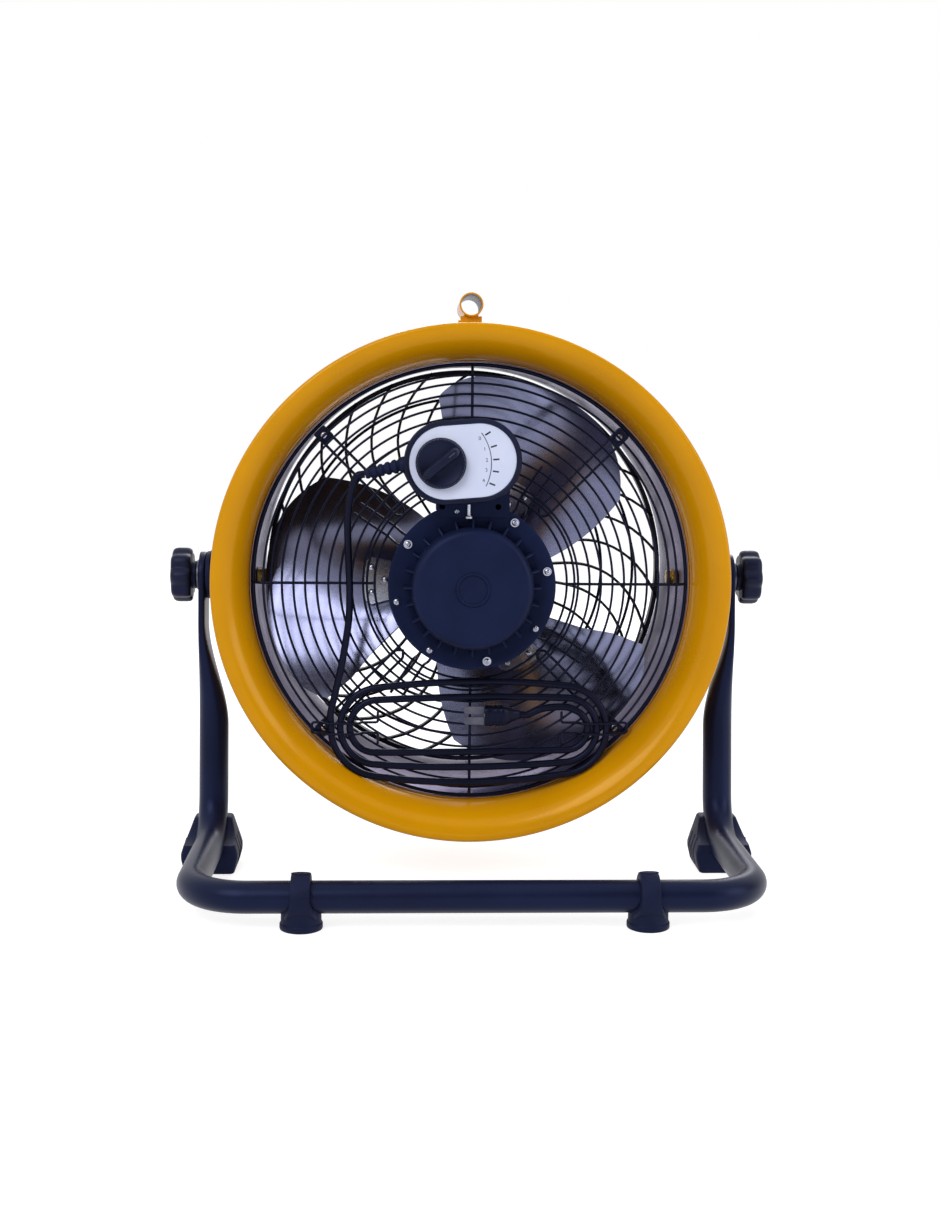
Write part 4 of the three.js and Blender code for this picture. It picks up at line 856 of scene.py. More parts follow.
@dataclass
class Motor:
    """Finned rear cup, flange with eight screws and plain front shell of the fan's motor."""

    cup: float = 49.5
    back: float = -59.0
    round_off: float = 7.0
    boss: float = 14.0
    fins: int = 24
    fin_reach: float = 56.0
    fin_back: float = -50.0
    fin_wall: float = 2.2
    flange: float = 68.7
    flange_back: float = -33.0
    flange_front: float = -30.0
    core: float = 47.3
    screw_circle: float = 62.8
    screw_angle: float = 11.7
    washered: tuple[int, ...] = (0, 1, 3, 6)  # numbers of the screws that have a washer
    washer: float = 3.5

    def build_cup(self) -> None:
        """Casts the cup: rounded edge, shallow boss, and a ring of fins down to the flange."""
        mouth, back, boss = self.flange_back - SEAT, self.back, self.boss
        profile = [(0, back - 0.2), (boss - 3, back - 0.2), (boss - 2.2, back - 1.5), (boss - 0.5, back - 1.5),
                   (boss + 0.3, back)]
        profile += arc((self.cup - self.round_off, back + self.round_off), self.round_off, -90, 0, 10)
        profile += [(self.cup, mouth), (self.core, mouth), (self.core, back + 8), (0, back + 8)]
        shape = Shape().lathe(profile, 128)
        rows = []
        for r, inset, wall in ((self.cup - 1, 0, 1.1), (self.fin_reach - 0.8, 0, 0.8), (self.fin_reach, 0.7, 0.8)):
            half, low = self.fin_wall / 2 * wall, self.fin_back + inset + (r - self.cup) * 0.35
            rows.append([V(r, d, z) for d, z in ((low, -half * 0.5), (low + 0.8, -half), (mouth, -half),
                                                 (mouth, half), (low + 0.8, half), (low, half * 0.5))])
        shape.ring_of(Shape().skin(rows), self.fins)
        build("finned_motor_cup", shape, PAINTED_CASTING, "motor_rear_cover")

    def build_flange(self) -> None:
        """Turns the flange, with a raised rim, pads at the screws and the screws themselves."""
        b, f, edge = self.flange_back, self.flange_front, self.flange
        shape = Shape().lathe([(self.core, b + 0.4), (edge - 3.4, b + 0.4), (edge - 2.6, b), (edge - 0.5, b),
                               (edge, b + 0.5), (edge, f - 0.5), (edge - 0.5, f), (self.core, f)], 144)
        places = [polar(self.screw_circle, self.screw_angle + 45 * i, b) for i in range(8)]
        for at in places:
            shape.spun([(0, 0), (4.3, 0), (3.9, 0.6), (0, 0.6)], at + BEHIND * 0.4, AHEAD, 24)
        build("motor_flange_ring", shape, PAINTED_CASTING, "motor_flange")
        fasten("flange_screws", [(at + AHEAD * 0.2, AHEAD) for at in places], 2.6, 1.9,
               dict.fromkeys(self.washered, self.washer))

    def build_front(self) -> None:
        """Turns the front shell and its nose, with twelve low ribs."""
        f = self.flange_front + SEAT
        profile = [(self.core, f), (54, f), (55, f + 1), (55, 12), *arc((47, 12), 8, 0, 90, 8), (26, 20), (25.2, 21),
                   (24.4, 27.2), (23.6, 28), (8.05, 28), (8.05, 18), (40, 17.8), (self.core, 12)]
        shape = Shape().lathe(profile, 112)
        shape.ring_of(Shape().block((1.6, 20, 1.6), V(55.1, -6, 0)), 12, 15)
        build("motor_front_bell", shape, PAINTED_CASTING, "motor_front_shell")

    def build_lead(self) -> None:
        """Bright stem between the cup and the switch box, with its collar."""
        profile = [(0, 0), (3.1, 0), (3.1, 1.6), (2.7, 2), (1.9, 2), (1.7, 2.6), (1.4, 2.6), (1.4, 11.2), (0, 11.2)]
        build("switch_stem", Shape().spun(profile, V(-3.4, -43, 56.35), UP, 32), ZINC_PLATE, "motor_lead")

    def assemble(self) -> None:
        """Builds the motor's outside and dresses its inside."""
        self.build_cup()
        self.build_flange()
        self.build_front()
        self.build_lead()
        dress(LAMINATED_STEEL, "stator_core", "rotor_core")
        dress(COPPER_WINDING, "stator_winding_rear", "stator_winding_front")
        dress(ZINC_PLATE, "bearing_rear", "bearing_front", "motor_shaft", "hub_nut")
        dress(PAINTED_CASTING, "box_mount")


# ---- fan wheel


@dataclass
class FanWheel:
    """Three twisted, cambered blades of pressed sheet, riveted to a three-armed spider."""

    first: float = 62.0
    tip: float = 175.0
    root: float = 44.0
    centre: float = 52.0
    lead_span: Flat = (58.0, 31.0)
    trail_span: Flat = (29.0, 38.0)
    trail_full: float = 130.0
    slope: float = 1.2
    slope_start: float = 18.0
    slope_length: float = 32.0
    ease_span: float = 32.0
    camber: float = 5.0
    camber_span: Flat = (27.0, 35.0)
    camber_waist: float = 66.0
    flat_share: float = 0.33  # of the camber that lies behind the spider's plane
    cuts: tuple[float, float, float] = (24.0, 18.0, 6.0)
    sheet: float = 1.5
    arm_sheet: float = 2.4
    arm_span: float = 13.0
    bore: float = 6.3
    hub: float = 17.0
    disc: float = 30.0
    disc_half: float = 2.2
    rivets: tuple[Flat, ...] = ((56, -7), (56, 7), (72, 0), (84, -7), (84, 7))  # radius and degrees from the middle

    def span(self, radius: float, side: float) -> float:
        """How far a blade's edge lies from its middle at a radius.

        Args:
            radius: Distance from the axis.
            side: Below 0 for the leading edge.

        Returns:
            The angle in degrees.
        """
        if side < 0:
            return lerp(*self.lead_span, (radius - self.root) / (self.tip - self.root))
        return lerp(*self.trail_span, min(1.0, (radius - self.root) / (self.trail_full - self.root)))

    def depth(self, radius: float, degrees: float) -> float:
        """Depth of a blade's intake side.

        Args:
            radius: Distance from the axis.
            degrees: Angle from the blade's middle.

        Returns:
            The depth.
        """
        slope = self.slope * (1 - math.exp(-(radius - self.slope_start) / self.slope_length))
        turn = abs(degrees)
        if turn > self.arm_span:
            turn = self.arm_span + self.ease_span * (1 - math.exp((self.arm_span - turn) / self.ease_span))
        beyond = max(0.0, (radius - self.camber_waist) / (self.tip - self.camber_waist))
        across = abs(degrees) / lerp(*self.camber_span, beyond)
        curl = across * across if across < 0.5 else 0.25 + (1 - math.exp(1 - 2 * across)) / 2
        return self.centre - math.copysign(slope * turn, degrees) + self.camber * (curl - self.flat_share)

    def twisted(self, radii: Flat, span: Callable[[float, float], float], thick: float, offset: float,
                cuts: tuple[float, float, float], steps: tuple[int, int]) -> Shape:
        """Twisted sheet between two radii.

        Args:
            radii: Inner and outer radius.
            span: Degrees from the middle to an edge at a radius, on a side.
            thick: Sheet thickness.
            offset: How far the sheet is moved along the axis.
            cuts: How far the leading tip, the trailing tip and the root corners are drawn in.
            steps: Steps along the radius and across.

        Returns:
            The sheet.
        """
        rings = []
        for i in range(steps[1] + 1):
            across = -math.cos(math.pi * i / steps[1])
            outer = radii[1] - (cuts[0] * abs(across) ** 3.5 if across < 0 else cuts[1] * across ** 5)
            inner = radii[0] + cuts[2] * abs(across) ** 5
            line = [(r, across * span(r, across)) for r in stops(inner, outer, steps[0])]
            near, far = ([polar(r, a, self.depth(r, a) + offset + out) for r, a in line] for out in (0, thick))
            rings.append(near + far[::-1])
        return Shape().skin(rings)

    def assemble(self) -> None:
        """Builds the blades, the spider and the rivets."""
        offset, half, back = -self.arm_sheet - SEAT, self.disc_half, self.centre - 11
        disc = self.centre + offset + self.arm_sheet / 2 - self.camber * self.flat_share
        for i in range(3):
            blade = self.twisted((self.root, self.tip), self.span, self.sheet, 0, self.cuts, (36, 56))
            build(f"pressed_blade_{i + 1}", blade.moved(about_axis(self.first + 120 * i)), POLISHED_ALUMINIUM,
                  f"blade_{i + 1}", body="rotor", crease=50)
        spider = Shape().lathe(bevelled(self.bore, self.hub, back, back + 22, 0.6), 64)
        spider.lathe(bevelled(self.bore, self.disc, disc - half, disc + half, 0.6), 72)
        arm = self.twisted((20, 92), lambda r, side: self.arm_span, self.arm_sheet, offset, (6, 6, 0), (16, 14))
        build("blade_spider_plate", spider.ring_of(arm, 3, self.first), ZINC_PLATE, "blade_spider", body="rotor",
              crease=50)
        rivets = Shape()
        for radius, degrees in self.rivets:
            at = polar(radius, degrees, self.depth(radius, degrees) + offset)
            rivets.spun([(0, -0.3), (3.4, -0.3), (3.0, 0.9), (1.8, 1.7), (0, 1.9)], at, AHEAD, 18)
            at = at + BEHIND * (self.arm_sheet + SEAT + self.sheet)
            rivets.spun([(0, -0.3), (2.8, -0.3), (2.5, 0.7), (0, 1.1)], at, BEHIND, 18)
        build("blade_rivets", Shape().ring_of(rivets, 3, self.first), ZINC_PLATE, body="rotor", crease=40)


# ---- switch box


@dataclass
class SwitchBox:
    """Oblong switch box with a pale printed panel and its speed knob."""

    width: float = 94.0
    height: float = 67.0
    roll: float = 4.6
    x: float = -9.2
    z: float = 102.5
    back: float = -35.1
    front: float = -66.0
    rim: float = 4.0
    knob_x: float = -17.5
    grip_angle: float = 39.7
    flutes: int = 40
    scale: Flat = (37.3, -26.5)  # degrees where the scale's line starts and ends
    marks: tuple[float, ...] = (32.8, 18.2, 4.4, -8.1, -21.7)
    mark_radii: Flat = (41.4, 46.4)
    line_radius: float = 40.0
    line_half: float = 0.32
    mark_half: float = 0.65
    ink: float = 0.06
    digit_radius: float = 36.4
    digit_size: float = 4.2

    def placed(self, along: float = 0.0) -> Matrix:
        """Where the box stands and how it is rolled, from a point along its length."""
        return Matrix.Translation(V(self.x, 0, self.z)) @ about_axis(self.roll) @ Matrix.Translation(V(along, 0, 0))

    def moulded(self, rows: Sequence[Flat]) -> Shape:
        """Solid with the box's outline, from its insets and their depths."""
        made = Shape().layers([(depth, stadium(self.width, self.height, inset, 28)) for inset, depth in rows])
        return made.moved(self.placed())

    def build_shell(self) -> None:
        """Moulds the shell with a rounded bezel round the panel."""
        f, b = self.front, self.back
        shape = self.moulded([(1.0, b), (0.3, b - 0.4), (0.0, b - 1.4), (0.0, b - 14), (0.0, b - 14.3),
                              (0.0, b - 15.7), (0.0, b - 16), (0.0, f + 1.8), (0.35, f + 0.7), (1.1, f), (3.0, f),
                              (3.7, f + 0.3), (4.0, f + 1.0), (4.0, f + 1.5)])
        build("switch_box_shell", shape, MOULDED_ABS, "switch_box", crease=40)

    def build_panel(self) -> None:
        """Lays the pale panel in the bezel and prints the scale on it."""
        face, edge, ink = self.front + 1.2, self.rim + 0.35, Shape()
        panel = self.moulded([(edge, face + 1.6), (edge, face + 0.2), (edge + 0.25, face)])
        build("pale_dial_panel", panel, PALE_PANEL, "dial_plate", crease=30)
        section = ((-1, 1), (1, 1), (1, 0), (-1, 0))
        ink.skin([[polar(self.line_radius + w * self.line_half, a - self.roll, face - d * self.ink)
                   for w, d in section] for a in stops(*self.scale, 40)])
        for a in (mark - self.roll for mark in self.marks):
            ink.skin([[polar(r, a, face - d * (self.ink + 0.01)) + polar(w * self.mark_half, a + 90)
                       for w, d in section] for r in self.mark_radii])
        build("panel_scale", ink.moved(self.placed(self.knob_x)), PANEL_INK, crease=30)
        for digit, angle in enumerate(self.marks):
            self.build_digit(str(digit), polar(self.digit_radius, angle - self.roll, face - 0.05))

    def build_digit(self, text: str, at: Vector) -> None:
        """Prints one plain number of the scale.

        Args:
            text: The number.
            at: Where its middle lies, from the knob's axis.
        """
        curve = bpy.data.curves.new(f"number_{text}", "FONT")
        curve.body, curve.size, curve.align_x, curve.align_y = text, self.digit_size, "CENTER", "CENTER"
        curve.resolution_u = 3
        source = new_object("number_source", curve)
        flat = bpy.data.meshes.new_from_object(source)
        bpy.data.objects.remove(source)
        shape = Shape([V(v.co.x + at.x, at.y, v.co.y + at.z) for v in flat.vertices],
                      [list(p.vertices) for p in flat.polygons])
        bpy.data.meshes.remove(flat)
        build(f"scale_number_{text}", shape.moved(self.placed(self.knob_x)), PANEL_INK)

    def build_knob(self) -> None:
        """Moulds the knob: fluted skirt, dished face and a grip bar with a pointer line."""
        face = self.front + 0.9
        top, grip = face - 8, face - 17
        placed, turned = self.placed(self.knob_x), about_axis(self.grip_angle - self.roll)
        skirt = ((20.2, face, 0.0), (20.2, face - 1.6, 0.0), (19.9, face - 2.0, 0.28), (19.3, top + 0.9, 0.28),
                 (18.6, top + 0.1, 0.1), (17.4, top, 0.0), (16.6, top + 0.5, 0.0), (8.0, top + 0.9, 0.0))
        shape = Shape().skin([[polar(r - depth * (1 - math.cos(self.flutes * a)), math.degrees(a), d)
                               for a in turns(240)] for r, d, depth in skirt])
        bar = ((top + 1, 4.5, 17.9), (top - 1, 4.3, 17.6), (top - 6.5, 3.7, 16.4), (grip + 0.9, 3.3, 15.6),
               (grip + 0.2, 2.8, 14.8), (grip, 2.0, 13.8))
        shape.join(Shape().layers([(d, stadium(2 * long, 2 * half, 0, 12)) for d, half, long in bar]).moved(turned))
        build("speed_knob_moulding", shape.moved(placed), MOULDED_ABS, "speed_knob", body="speed_knob")
        mark = Shape().block((6.0, 0.12, 0.9), V(10.6, grip - 0.02, 0)).moved(placed @ turned)
        build("knob_pointer", mark, DULL_NICKEL_AND_BORE_SHADE, body="speed_knob", slot="pale_plastic")

    def assemble(self) -> None:
        """Builds the box, the panel and the knob."""
        self.build_shell()
        self.build_panel()
        self.build_knob()
        dress(MOULDED_ABS, "rotary_switch")
        fasten("mount_screws", [(V(x, self.back + 0.3, 65.28), BEHIND) for x in (-24.8, 20.8)], 2.4, 1.2)


# ---- stand


Station = tuple[Vector, Vector, Vector, float, float, float]


@dataclass
class Stand:
    """One bent tube with flattened ends, on two clip feet and two heel feet."""

    tube: float = 12.5
    leg_x: float = 220.0
    rail_y: float = -150.0
    heel_y: float = 36.0
    corner: float = 46.0
    heel: float = 42.0
    floor: float = -250.0
    rail_z: float = -225.5
    pivot_y: float = 62.0
    ear_x: float = 229.5
    ear_wall: float = 6.0
    ear_width: float = 38.0
    ear_base: float = -40.0
    ear_edge: float = 0.32  # squareness of the flattened ends, where 1 is round
    round_below: float = -130.0
    foot_x: float = 132.5
    heel_back: float = 50.0

    def bend(self, start: Vector, corner: Vector, end: Vector, radius: float,
             steps: int) -> list[tuple[Vector, Vector]]:
        """Points and directions round a true circular bend.

        Args:
            start: A point on the run before the corner.
            corner: Where the two runs would meet.
            end: A point on the run after it.
            radius: Bend radius of the tube's middle.
            steps: Chords of the bend.

        Returns:
            Pairs of a point and the direction there.
        """
        back, ahead = (start - corner).normalized(), (end - corner).normalized()
        half = back.angle(ahead) / 2
        centre = corner + (back + ahead).normalized() * (radius / math.sin(half))
        first = corner + back * (radius / math.tan(half)) - centre
        normal = ahead.cross(back).normalized()
        spins = [Matrix.Rotation(a, 3, normal) for a in stops(0, math.pi - 2 * half, steps)]
        return [(centre + spin @ first, spin @ -back) for spin in spins]

    def stations(self) -> list[Station]:
        """Sections down the right leg and round to the middle of the front bar.

        Returns:
            For each: point, direction, outward side, half thickness, half width, squareness.
        """
        pivot, heel = V(self.leg_x, self.pivot_y, 0), V(self.leg_x, self.heel_y, self.rail_z)
        up, out, round_edge = (pivot - heel).normalized(), V(1, 0, 0), 1.0
        half, wall = self.ear_width / 2, self.ear_wall / 2
        made: list[Station] = []
        for angle in (86, 78, 68, 56, 44, 32, 20, 10, 0):
            a, shrink = math.radians(angle), 1 - 0.3 * (angle / 86) ** 6
            p = pivot + up * (20 - half + half * math.sin(a))
            p.x = self.ear_x
            made.append((p, -up, out, wall * shrink, half * math.cos(a), self.ear_edge))
        for share in stops(0, 1, 18):
            ease = share * share * (3 - 2 * share)
            p = pivot + up * lerp(self.ear_base, self.round_below, share)
            p.x = lerp(self.ear_x, self.leg_x, ease)
            made.append((p, -up, out, lerp(wall, self.tube, ease), lerp(half, self.tube, ease),
                         lerp(self.ear_edge, round_edge, ease)))
        front = V(self.leg_x, self.rail_y, self.rail_z)
        made += [(p, along, out, self.tube, self.tube, round_edge)
                 for p, along in self.bend(pivot, heel, front, self.heel, 14)]
        made += [(p, along, UP.cross(along), self.tube, self.tube, round_edge)
                 for p, along in self.bend(heel, front, V(0, self.rail_y, self.rail_z), self.corner, 16)]
        return made

    def build_tube(self) -> None:
        """Bends the tube and flattens its ends."""
        right = self.stations()
        left = [(V(-p.x, p.y, p.z), V(t.x, -t.y, -t.z), V(-o.x, o.y, o.z), *sizes) for p, t, o, *sizes in right]
        rings = [[p + out * (thick * u) + along.cross(out) * (wide * w) for u, w in squircle(power, 40)]
                 for p, along, out, thick, wide, power in right + left[::-1]]
        build("bent_stand_tube", Shape().skin(rings), POWDER_COAT, "stand_tube", body="stand", crease=50)

    def build_bar_feet(self) -> None:
        """Clip feet on the front bar: a split collar over a stepped round base."""
        base = ((0, 0), (15.2, 0), (16.2, 0.5), (16.5, 1.3), (16.5, 4.4), (16.2, 5.1), (15.7, 5.4), (15.5, 6.0),
                (15.4, 12.0), (15.0, 15.5), (14.2, 18.2), (12.4, 21.0), (9.6, 23.2), (7.4, 25.4))
        inner, outer, half, y, rail = self.tube + 0.25, self.tube + 5.9, 7.5, self.rail_y, self.rail_z
        collar = ((inner, -half), (outer - 1.4, -half), (outer - 0.3, -half + 0.5), (outer, -half + 1.6),
                  (outer, half - 1.6), (outer - 0.3, half - 0.5), (outer - 1.4, half), (inner, half))
        for name, side in SIDES:
            x = side * self.foot_x
            shape, rings = Shape().spun(base, V(x, y, self.floor), UP, 56), []
            for a in turns(64):
                flare = 1 + 0.75 * max(0.0, 0.1 - math.sin(a)) ** 2
                rings.append([V(x + d * flare, y + r * math.cos(a), rail + r * math.sin(a)) for r, d in collar])
            shape.skin(rings, along=True)
            shape.tube([V(x + 7.2 * math.cos(a), y + 3 * math.sin(a), rail + 18.3) for a in turns(24)], 0.5, 8, True)
            build(f"clip_foot_{name}", shape, MOULDED_RUBBER, f"bar_foot_{name}", body="stand", crease=40)

    def build_heel_feet(self) -> None:
        """Blocks behind and under the tube's heels, open to the front, with a bevelled sole."""
        pivot, heel = V(0, self.pivot_y, 0), V(0, self.heel_y, self.rail_z)
        up = (pivot - heel).normalized()
        middle = heel + (up + AHEAD).normalized() * (self.heel / math.sin(up.angle(AHEAD) / 2)) - UP * self.floor
        widths = ((0.0, 19.6), (0.8, 20.8), (2.0, 21.4), (12.0, 23.8), (14.0, 24.0), (17.0, 24.0), (19.0, 23.5),
                  (24.6, 21.8), (26.0, 21.3), (28.0, 20.7), (30.0, 20.0), (33.0, 19.0), (36.0, 18.0), (39.0, 17.0),
                  (41.0, 16.3), (42.0, 15.2))
        insets = {0.0: 1.2, 0.8: 0.3, 41.0: 0.3, 42.0: 1.2}
        ridge = rounded([V(-21.7, 0, 4), V(-24.1, 0, 13), V(-24.1, 0, 17), V(-20.6, 0, 28)], 3, 4)
        for name, side in SIDES:
            rows, x = [], side * self.leg_x
            for z, half in widths:
                front = inset = insets.get(z, 0.0)
                if z > middle.z - self.heel:
                    front += max(0.0, middle.y + math.sqrt(self.heel ** 2 - (middle.z - z) ** 2))
                rows.append([V(x + across, y, self.floor + z)
                             for across, y in rectangle(-half, half, front, self.heel_back - inset, 3.0)])
            shape = Shape().skin(rows)
            for y in (16, 27, 38):
                for flip in (-1, 1):
                    shape.tube([V(x + flip * p.x, y, self.floor + p.z) for p in ridge], 0.5, 6)
            build(f"heel_block_{name}", shape, MOULDED_RUBBER, f"heel_foot_{name}", body="stand", crease=30)

    def assemble(self) -> None:
        """Builds the tube and its feet."""
        self.build_tube()
        self.build_bar_feet()
        self.build_heel_feet()


# ---- tilt clamps


@dataclass
class TiltClamp:
    """On one side: bracket, friction disc, washer, lobed hand knob, stud and the nut plate inside the drum."""

    name: str
    side: int
    depth: float = 62.0
    knob: float = 23.5
    waist: float = 21.2
    lobes: int = 8
    body_from: float = 239.1
    body_to: float = 256.1
    drum_side: float = 178.9
    screw_x: float = 186.6
    nut: float = 6.4

    def at(self, out: float, y: float = 0.0, z: float = 0.0) -> Vector:
        """Point at a distance out from the fan's middle, and from the tilt axis."""
        return V(self.side * out, self.depth + y, z)

    def disc(self, start: float, end: float, radius: float, edge: float) -> Shape:
        """Flat disc on the tilt axis, between two distances from the fan's middle."""
        return Shape().spun(bevelled(0, radius, 0, end - start, edge), self.at(start), V(self.side, 0, 0), 64)

    def build_knob(self) -> None:
        """Moulds a lobed hand knob with a dished cap."""
        rows, thick = [], self.body_to - self.body_from
        for at, inset, flat in ((0, 2.4, 0), (0.6, 1.2, 0), (2.0, 0.3, 0), (4.5, 0, 0), (thick - 5.5, 0, 0),
                                (thick - 2.8, 0.5, 0), (thick - 1.0, 1.7, 0), (thick - 0.2, 3.6, 0.15),
                                (thick, 5.6, 0.4), (thick - 0.1, 7.6, 0.7), (thick - 1.0, 8.4, 0.9),
                                (thick - 1.3, 11.0, 1.0)):
            ring = []
            for a in turns(192):
                lobed = lerp(self.waist - 0.5, self.knob, ((1 + math.cos(self.lobes * a)) / 2) ** 0.75)
                radius = lerp(lobed - inset, self.waist - inset + 1.2, flat)
                ring.append(self.at(self.body_from + at, radius * math.cos(a), radius * math.sin(a)))
            rows.append(ring)
        shape = Shape().skin(rows).join(self.disc(235.1, self.body_from + 1, 12, 0.8))
        build(f"lobed_knob_{self.name}", shape, MOULDED_ABS, f"clamp_knob_{self.name}", body=f"clamp_{self.name}",
              crease=40)

    def build_bracket(self) -> None:
        """Folds the bracket between the drum and the stand, with two screws in each foot."""
        bent = [V(x, y, 0) for x, y in ((185.4, -34), (185.4, -20), (220.65, -16), (220.65, 16), (185.4, 20),
                                        (185.4, 34))]
        outline = strip(rounded(bent, 3.4), 1.25)
        shape = Shape().skin([[self.at(x, y, z) for x, y in outline] for z in (-22, -21.6, 21.6, 22)])
        build(f"folded_bracket_{self.name}", shape, POWDER_COAT, f"pivot_bracket_{self.name}", crease=30)
        fasten(f"bracket_screws_{self.name}", [(self.at(self.screw_x, y, z), V(self.side, 0, 0))
                                               for y in (-27, 27) for z in (-12, 12)], 3.2, 2.1)

    def build_nut_plate(self) -> None:
        """Stamps the nut plate inside the drum, with its hexagon nut and two screws."""
        plate, near = rectangle(-13, 13, -6, 6, 2.5), self.drum_side
        hexagon = [(self.nut * math.cos(a), self.nut * math.sin(a)) for a in turns(6)]
        shape = Shape().skin([[self.at(x, y, z) for y, z in plate] for x in (near, near + 0.3, near + 2.9)])
        shape.skin([[self.at(x, y * share, z * share) for y, z in hexagon]
                    for x, share in ((near + 0.1, 1.0), (near - 4.3, 1.0), (near - 4.9, 0.9))])
        for y in (-9.6, 9.6):
            shape.screw(self.at(near, y), V(-self.side, 0, 0), 2.4, 1.5)
        build(f"nut_plate_set_{self.name}", shape, YELLOW_ZINC, f"nut_plate_{self.name}")

    def assemble(self) -> None:
        """Builds the clamp."""
        self.build_knob()
        self.build_bracket()
        self.build_nut_plate()
        build(f"friction_pad_{self.name}", self.disc(222.2, 226.2, 20.5, 0.6), MOULDED_RUBBER,
              f"friction_disc_{self.name}", body="stand")
        build(f"flat_washer_{self.name}", self.disc(232.8, 234.8, 13, 0.3), DULL_NICKEL_AND_BORE_SHADE,
              f"clamp_washer_{self.name}", body=f"clamp_{self.name}")
        dress(ZINC_PLATE, f"clamp_stud_{self.name}")


# ---- mains cord


@dataclass
class MainsCord:
    """Ribbed strain relief, the cord that drops to its hooks and is wound on them, and the plug."""

    radius: float = 3.0
    depth: float = -13.3
    loops: float = 2.67
    centre_x: float = 1.2
    centre_z: float = -121.0
    half_width: float = 117.5
    half_height: float = 46.0
    width_pitch: float = 8.0
    height_pitch: float = 13.0
    fold: float = 18.0
    fold_share: float = 0.8
    fold_turn: float = 14 / 24 / 4  # share of a loop on each side of a fold's middle
    relief_root: tuple[float, float, float] = (-54.0, -50.55, 100.0)
    relief_length: float = 34.0
    relief_angle: float = 14.0
    relief_ribs: int = 5
    plug_length: float = 30.0
    plug_width: float = 17.0
    plug_thick: float = 15.0
    drop: tuple[tuple[float, float, float], ...] = (
        (-98, -47.5, 78), (-100.8, -41, 58), (-101.2, -31, 36), (-100.8, -20, 15), (-100.4, -14, -6),
        (-101, -13.3, -28), (-104, -13.3, -50), (-107.5, -13.3, -70), (-112, -13.3, -90))

    def hank_point(self, turn: float) -> Vector:
        """Middle of the cord a number of loops into the hank, which is one flat spiral round both hooks.

        Args:
            turn: Loops from the hank's start at the far left.

        Returns:
            The point.
        """
        a = self.half_width - self.width_pitch * turn
        b = self.half_height - self.height_pitch * (turn - 0.25)
        fold, half = self.fold + self.fold_share * max(0.0, b - self.fold), self.fold_turn
        lean = math.atan(2 * (b - fold) / (a - fold))
        fold_angle = math.pi / 2 - lean
        phase = turn % 1
        mirror = 1 if 0.25 <= phase < 0.75 else -1
        near = phase - 0.5 if mirror > 0 else (phase + 0.5) % 1 - 0.5
        climb = mirror * ((near > 0) - (near < 0))
        if abs(near) <= half:
            angle = fold_angle * abs(near) / half
            x, z = a - fold + fold * math.cos(angle), fold * math.sin(angle)
        else:
            edge = a - fold + fold * math.cos(fold_angle)
            x = edge * (1 - (abs(near) - half) / (0.25 - half))
            z = fold * math.sin(fold_angle) + math.tan(lean) * edge / 2 * (1 - (x / edge) ** 2)
        return V(self.centre_x + mirror * x, self.depth, self.centre_z + climb * z)

    def through(self, points: Sequence[Vector], steps: int) -> list[Vector]:
        """Smooth line through points.

        Args:
            points: What it passes through.
            steps: Chords between two of them.

        Returns:
            The line.
        """
        line = [points[0] * 2 - points[1], *points, points[-1] * 2 - points[-2]]
        made: list[Vector] = []
        for i in range(1, len(line) - 2):
            p, t = line[i - 1:i + 3], [0.0]
            for a, b in zip(p, p[1:]):
                t.append(t[-1] + max((b - a).length, 1e-6) ** 0.5)
            for u in stops(t[1], t[2], steps)[:-1]:
                row = list(p)
                for reach, low in ((1, 0), (2, 0), (1, 1)):
                    row = [row[j] * ((t[low + j + reach] - u) / (t[low + j + reach] - t[low + j]))
                           + row[j + 1] * ((u - t[low + j]) / (t[low + j + reach] - t[low + j]))
                           for j in range(len(row) - 1)]
                made.append(row[0])
        return made + [points[-1]]

    def route(self) -> list[Vector]:
        """The whole cord's middle, from the strain relief to the plug.

        Returns:
            Its points.
        """
        along, lead, first = polar(1, 180 + self.relief_angle), 2 * self.radius, self.hank_point(0)
        start = V(*self.relief_root) + along * (self.relief_length + SEAT)
        line = self.through([start, start + along * lead, *(V(*p) for p in self.drop),
                             first + UP * (2 * lead + SEAT), first + UP * (lead + SEAT)], 6)
        hank = [self.hank_point(turn) for turn in stops(0, self.loops, round(self.loops * 96))]
        turn = V(math.copysign(1, hank[-1].x - hank[-2].x), 0, 0)
        tail = hank[-1] + turn * 12 - UP * 5
        return line + hank[2:-10] + self.through([hank[-10], hank[-5], hank[-1], tail, tail + turn * lead], 6)

    def build_relief(self) -> bpy.types.Object:
        """Moulds the tapered strain relief with its ribs.

        Returns:
            The strain relief.
        """
        length, ribs = self.relief_length, self.relief_ribs
        profile: list[Flat] = [(0, 0), (6.4, 0), (6.4, 4.6), (5.9, 5.2)]
        for i in range(1, ribs + 1):
            at, r = length / (ribs + 1) * i, lerp(6.0, 4.3, i / ribs)
            profile += [(r - 1.1, at + 0.6), (r - 1.1, at + 1.5), (r - 0.2, at + 2.1), (r, at + 2.7), (r, at + 4.2),
                        (r - 0.3, at + 4.9)]
        shape = Shape().spun([*profile, (3.4, length), (0, length)], V(*self.relief_root),
                             polar(1, 180 + self.relief_angle), 40)
        return build("ribbed_strain_relief", shape, MOULDED_RUBBER, "strain_relief", crease=40)

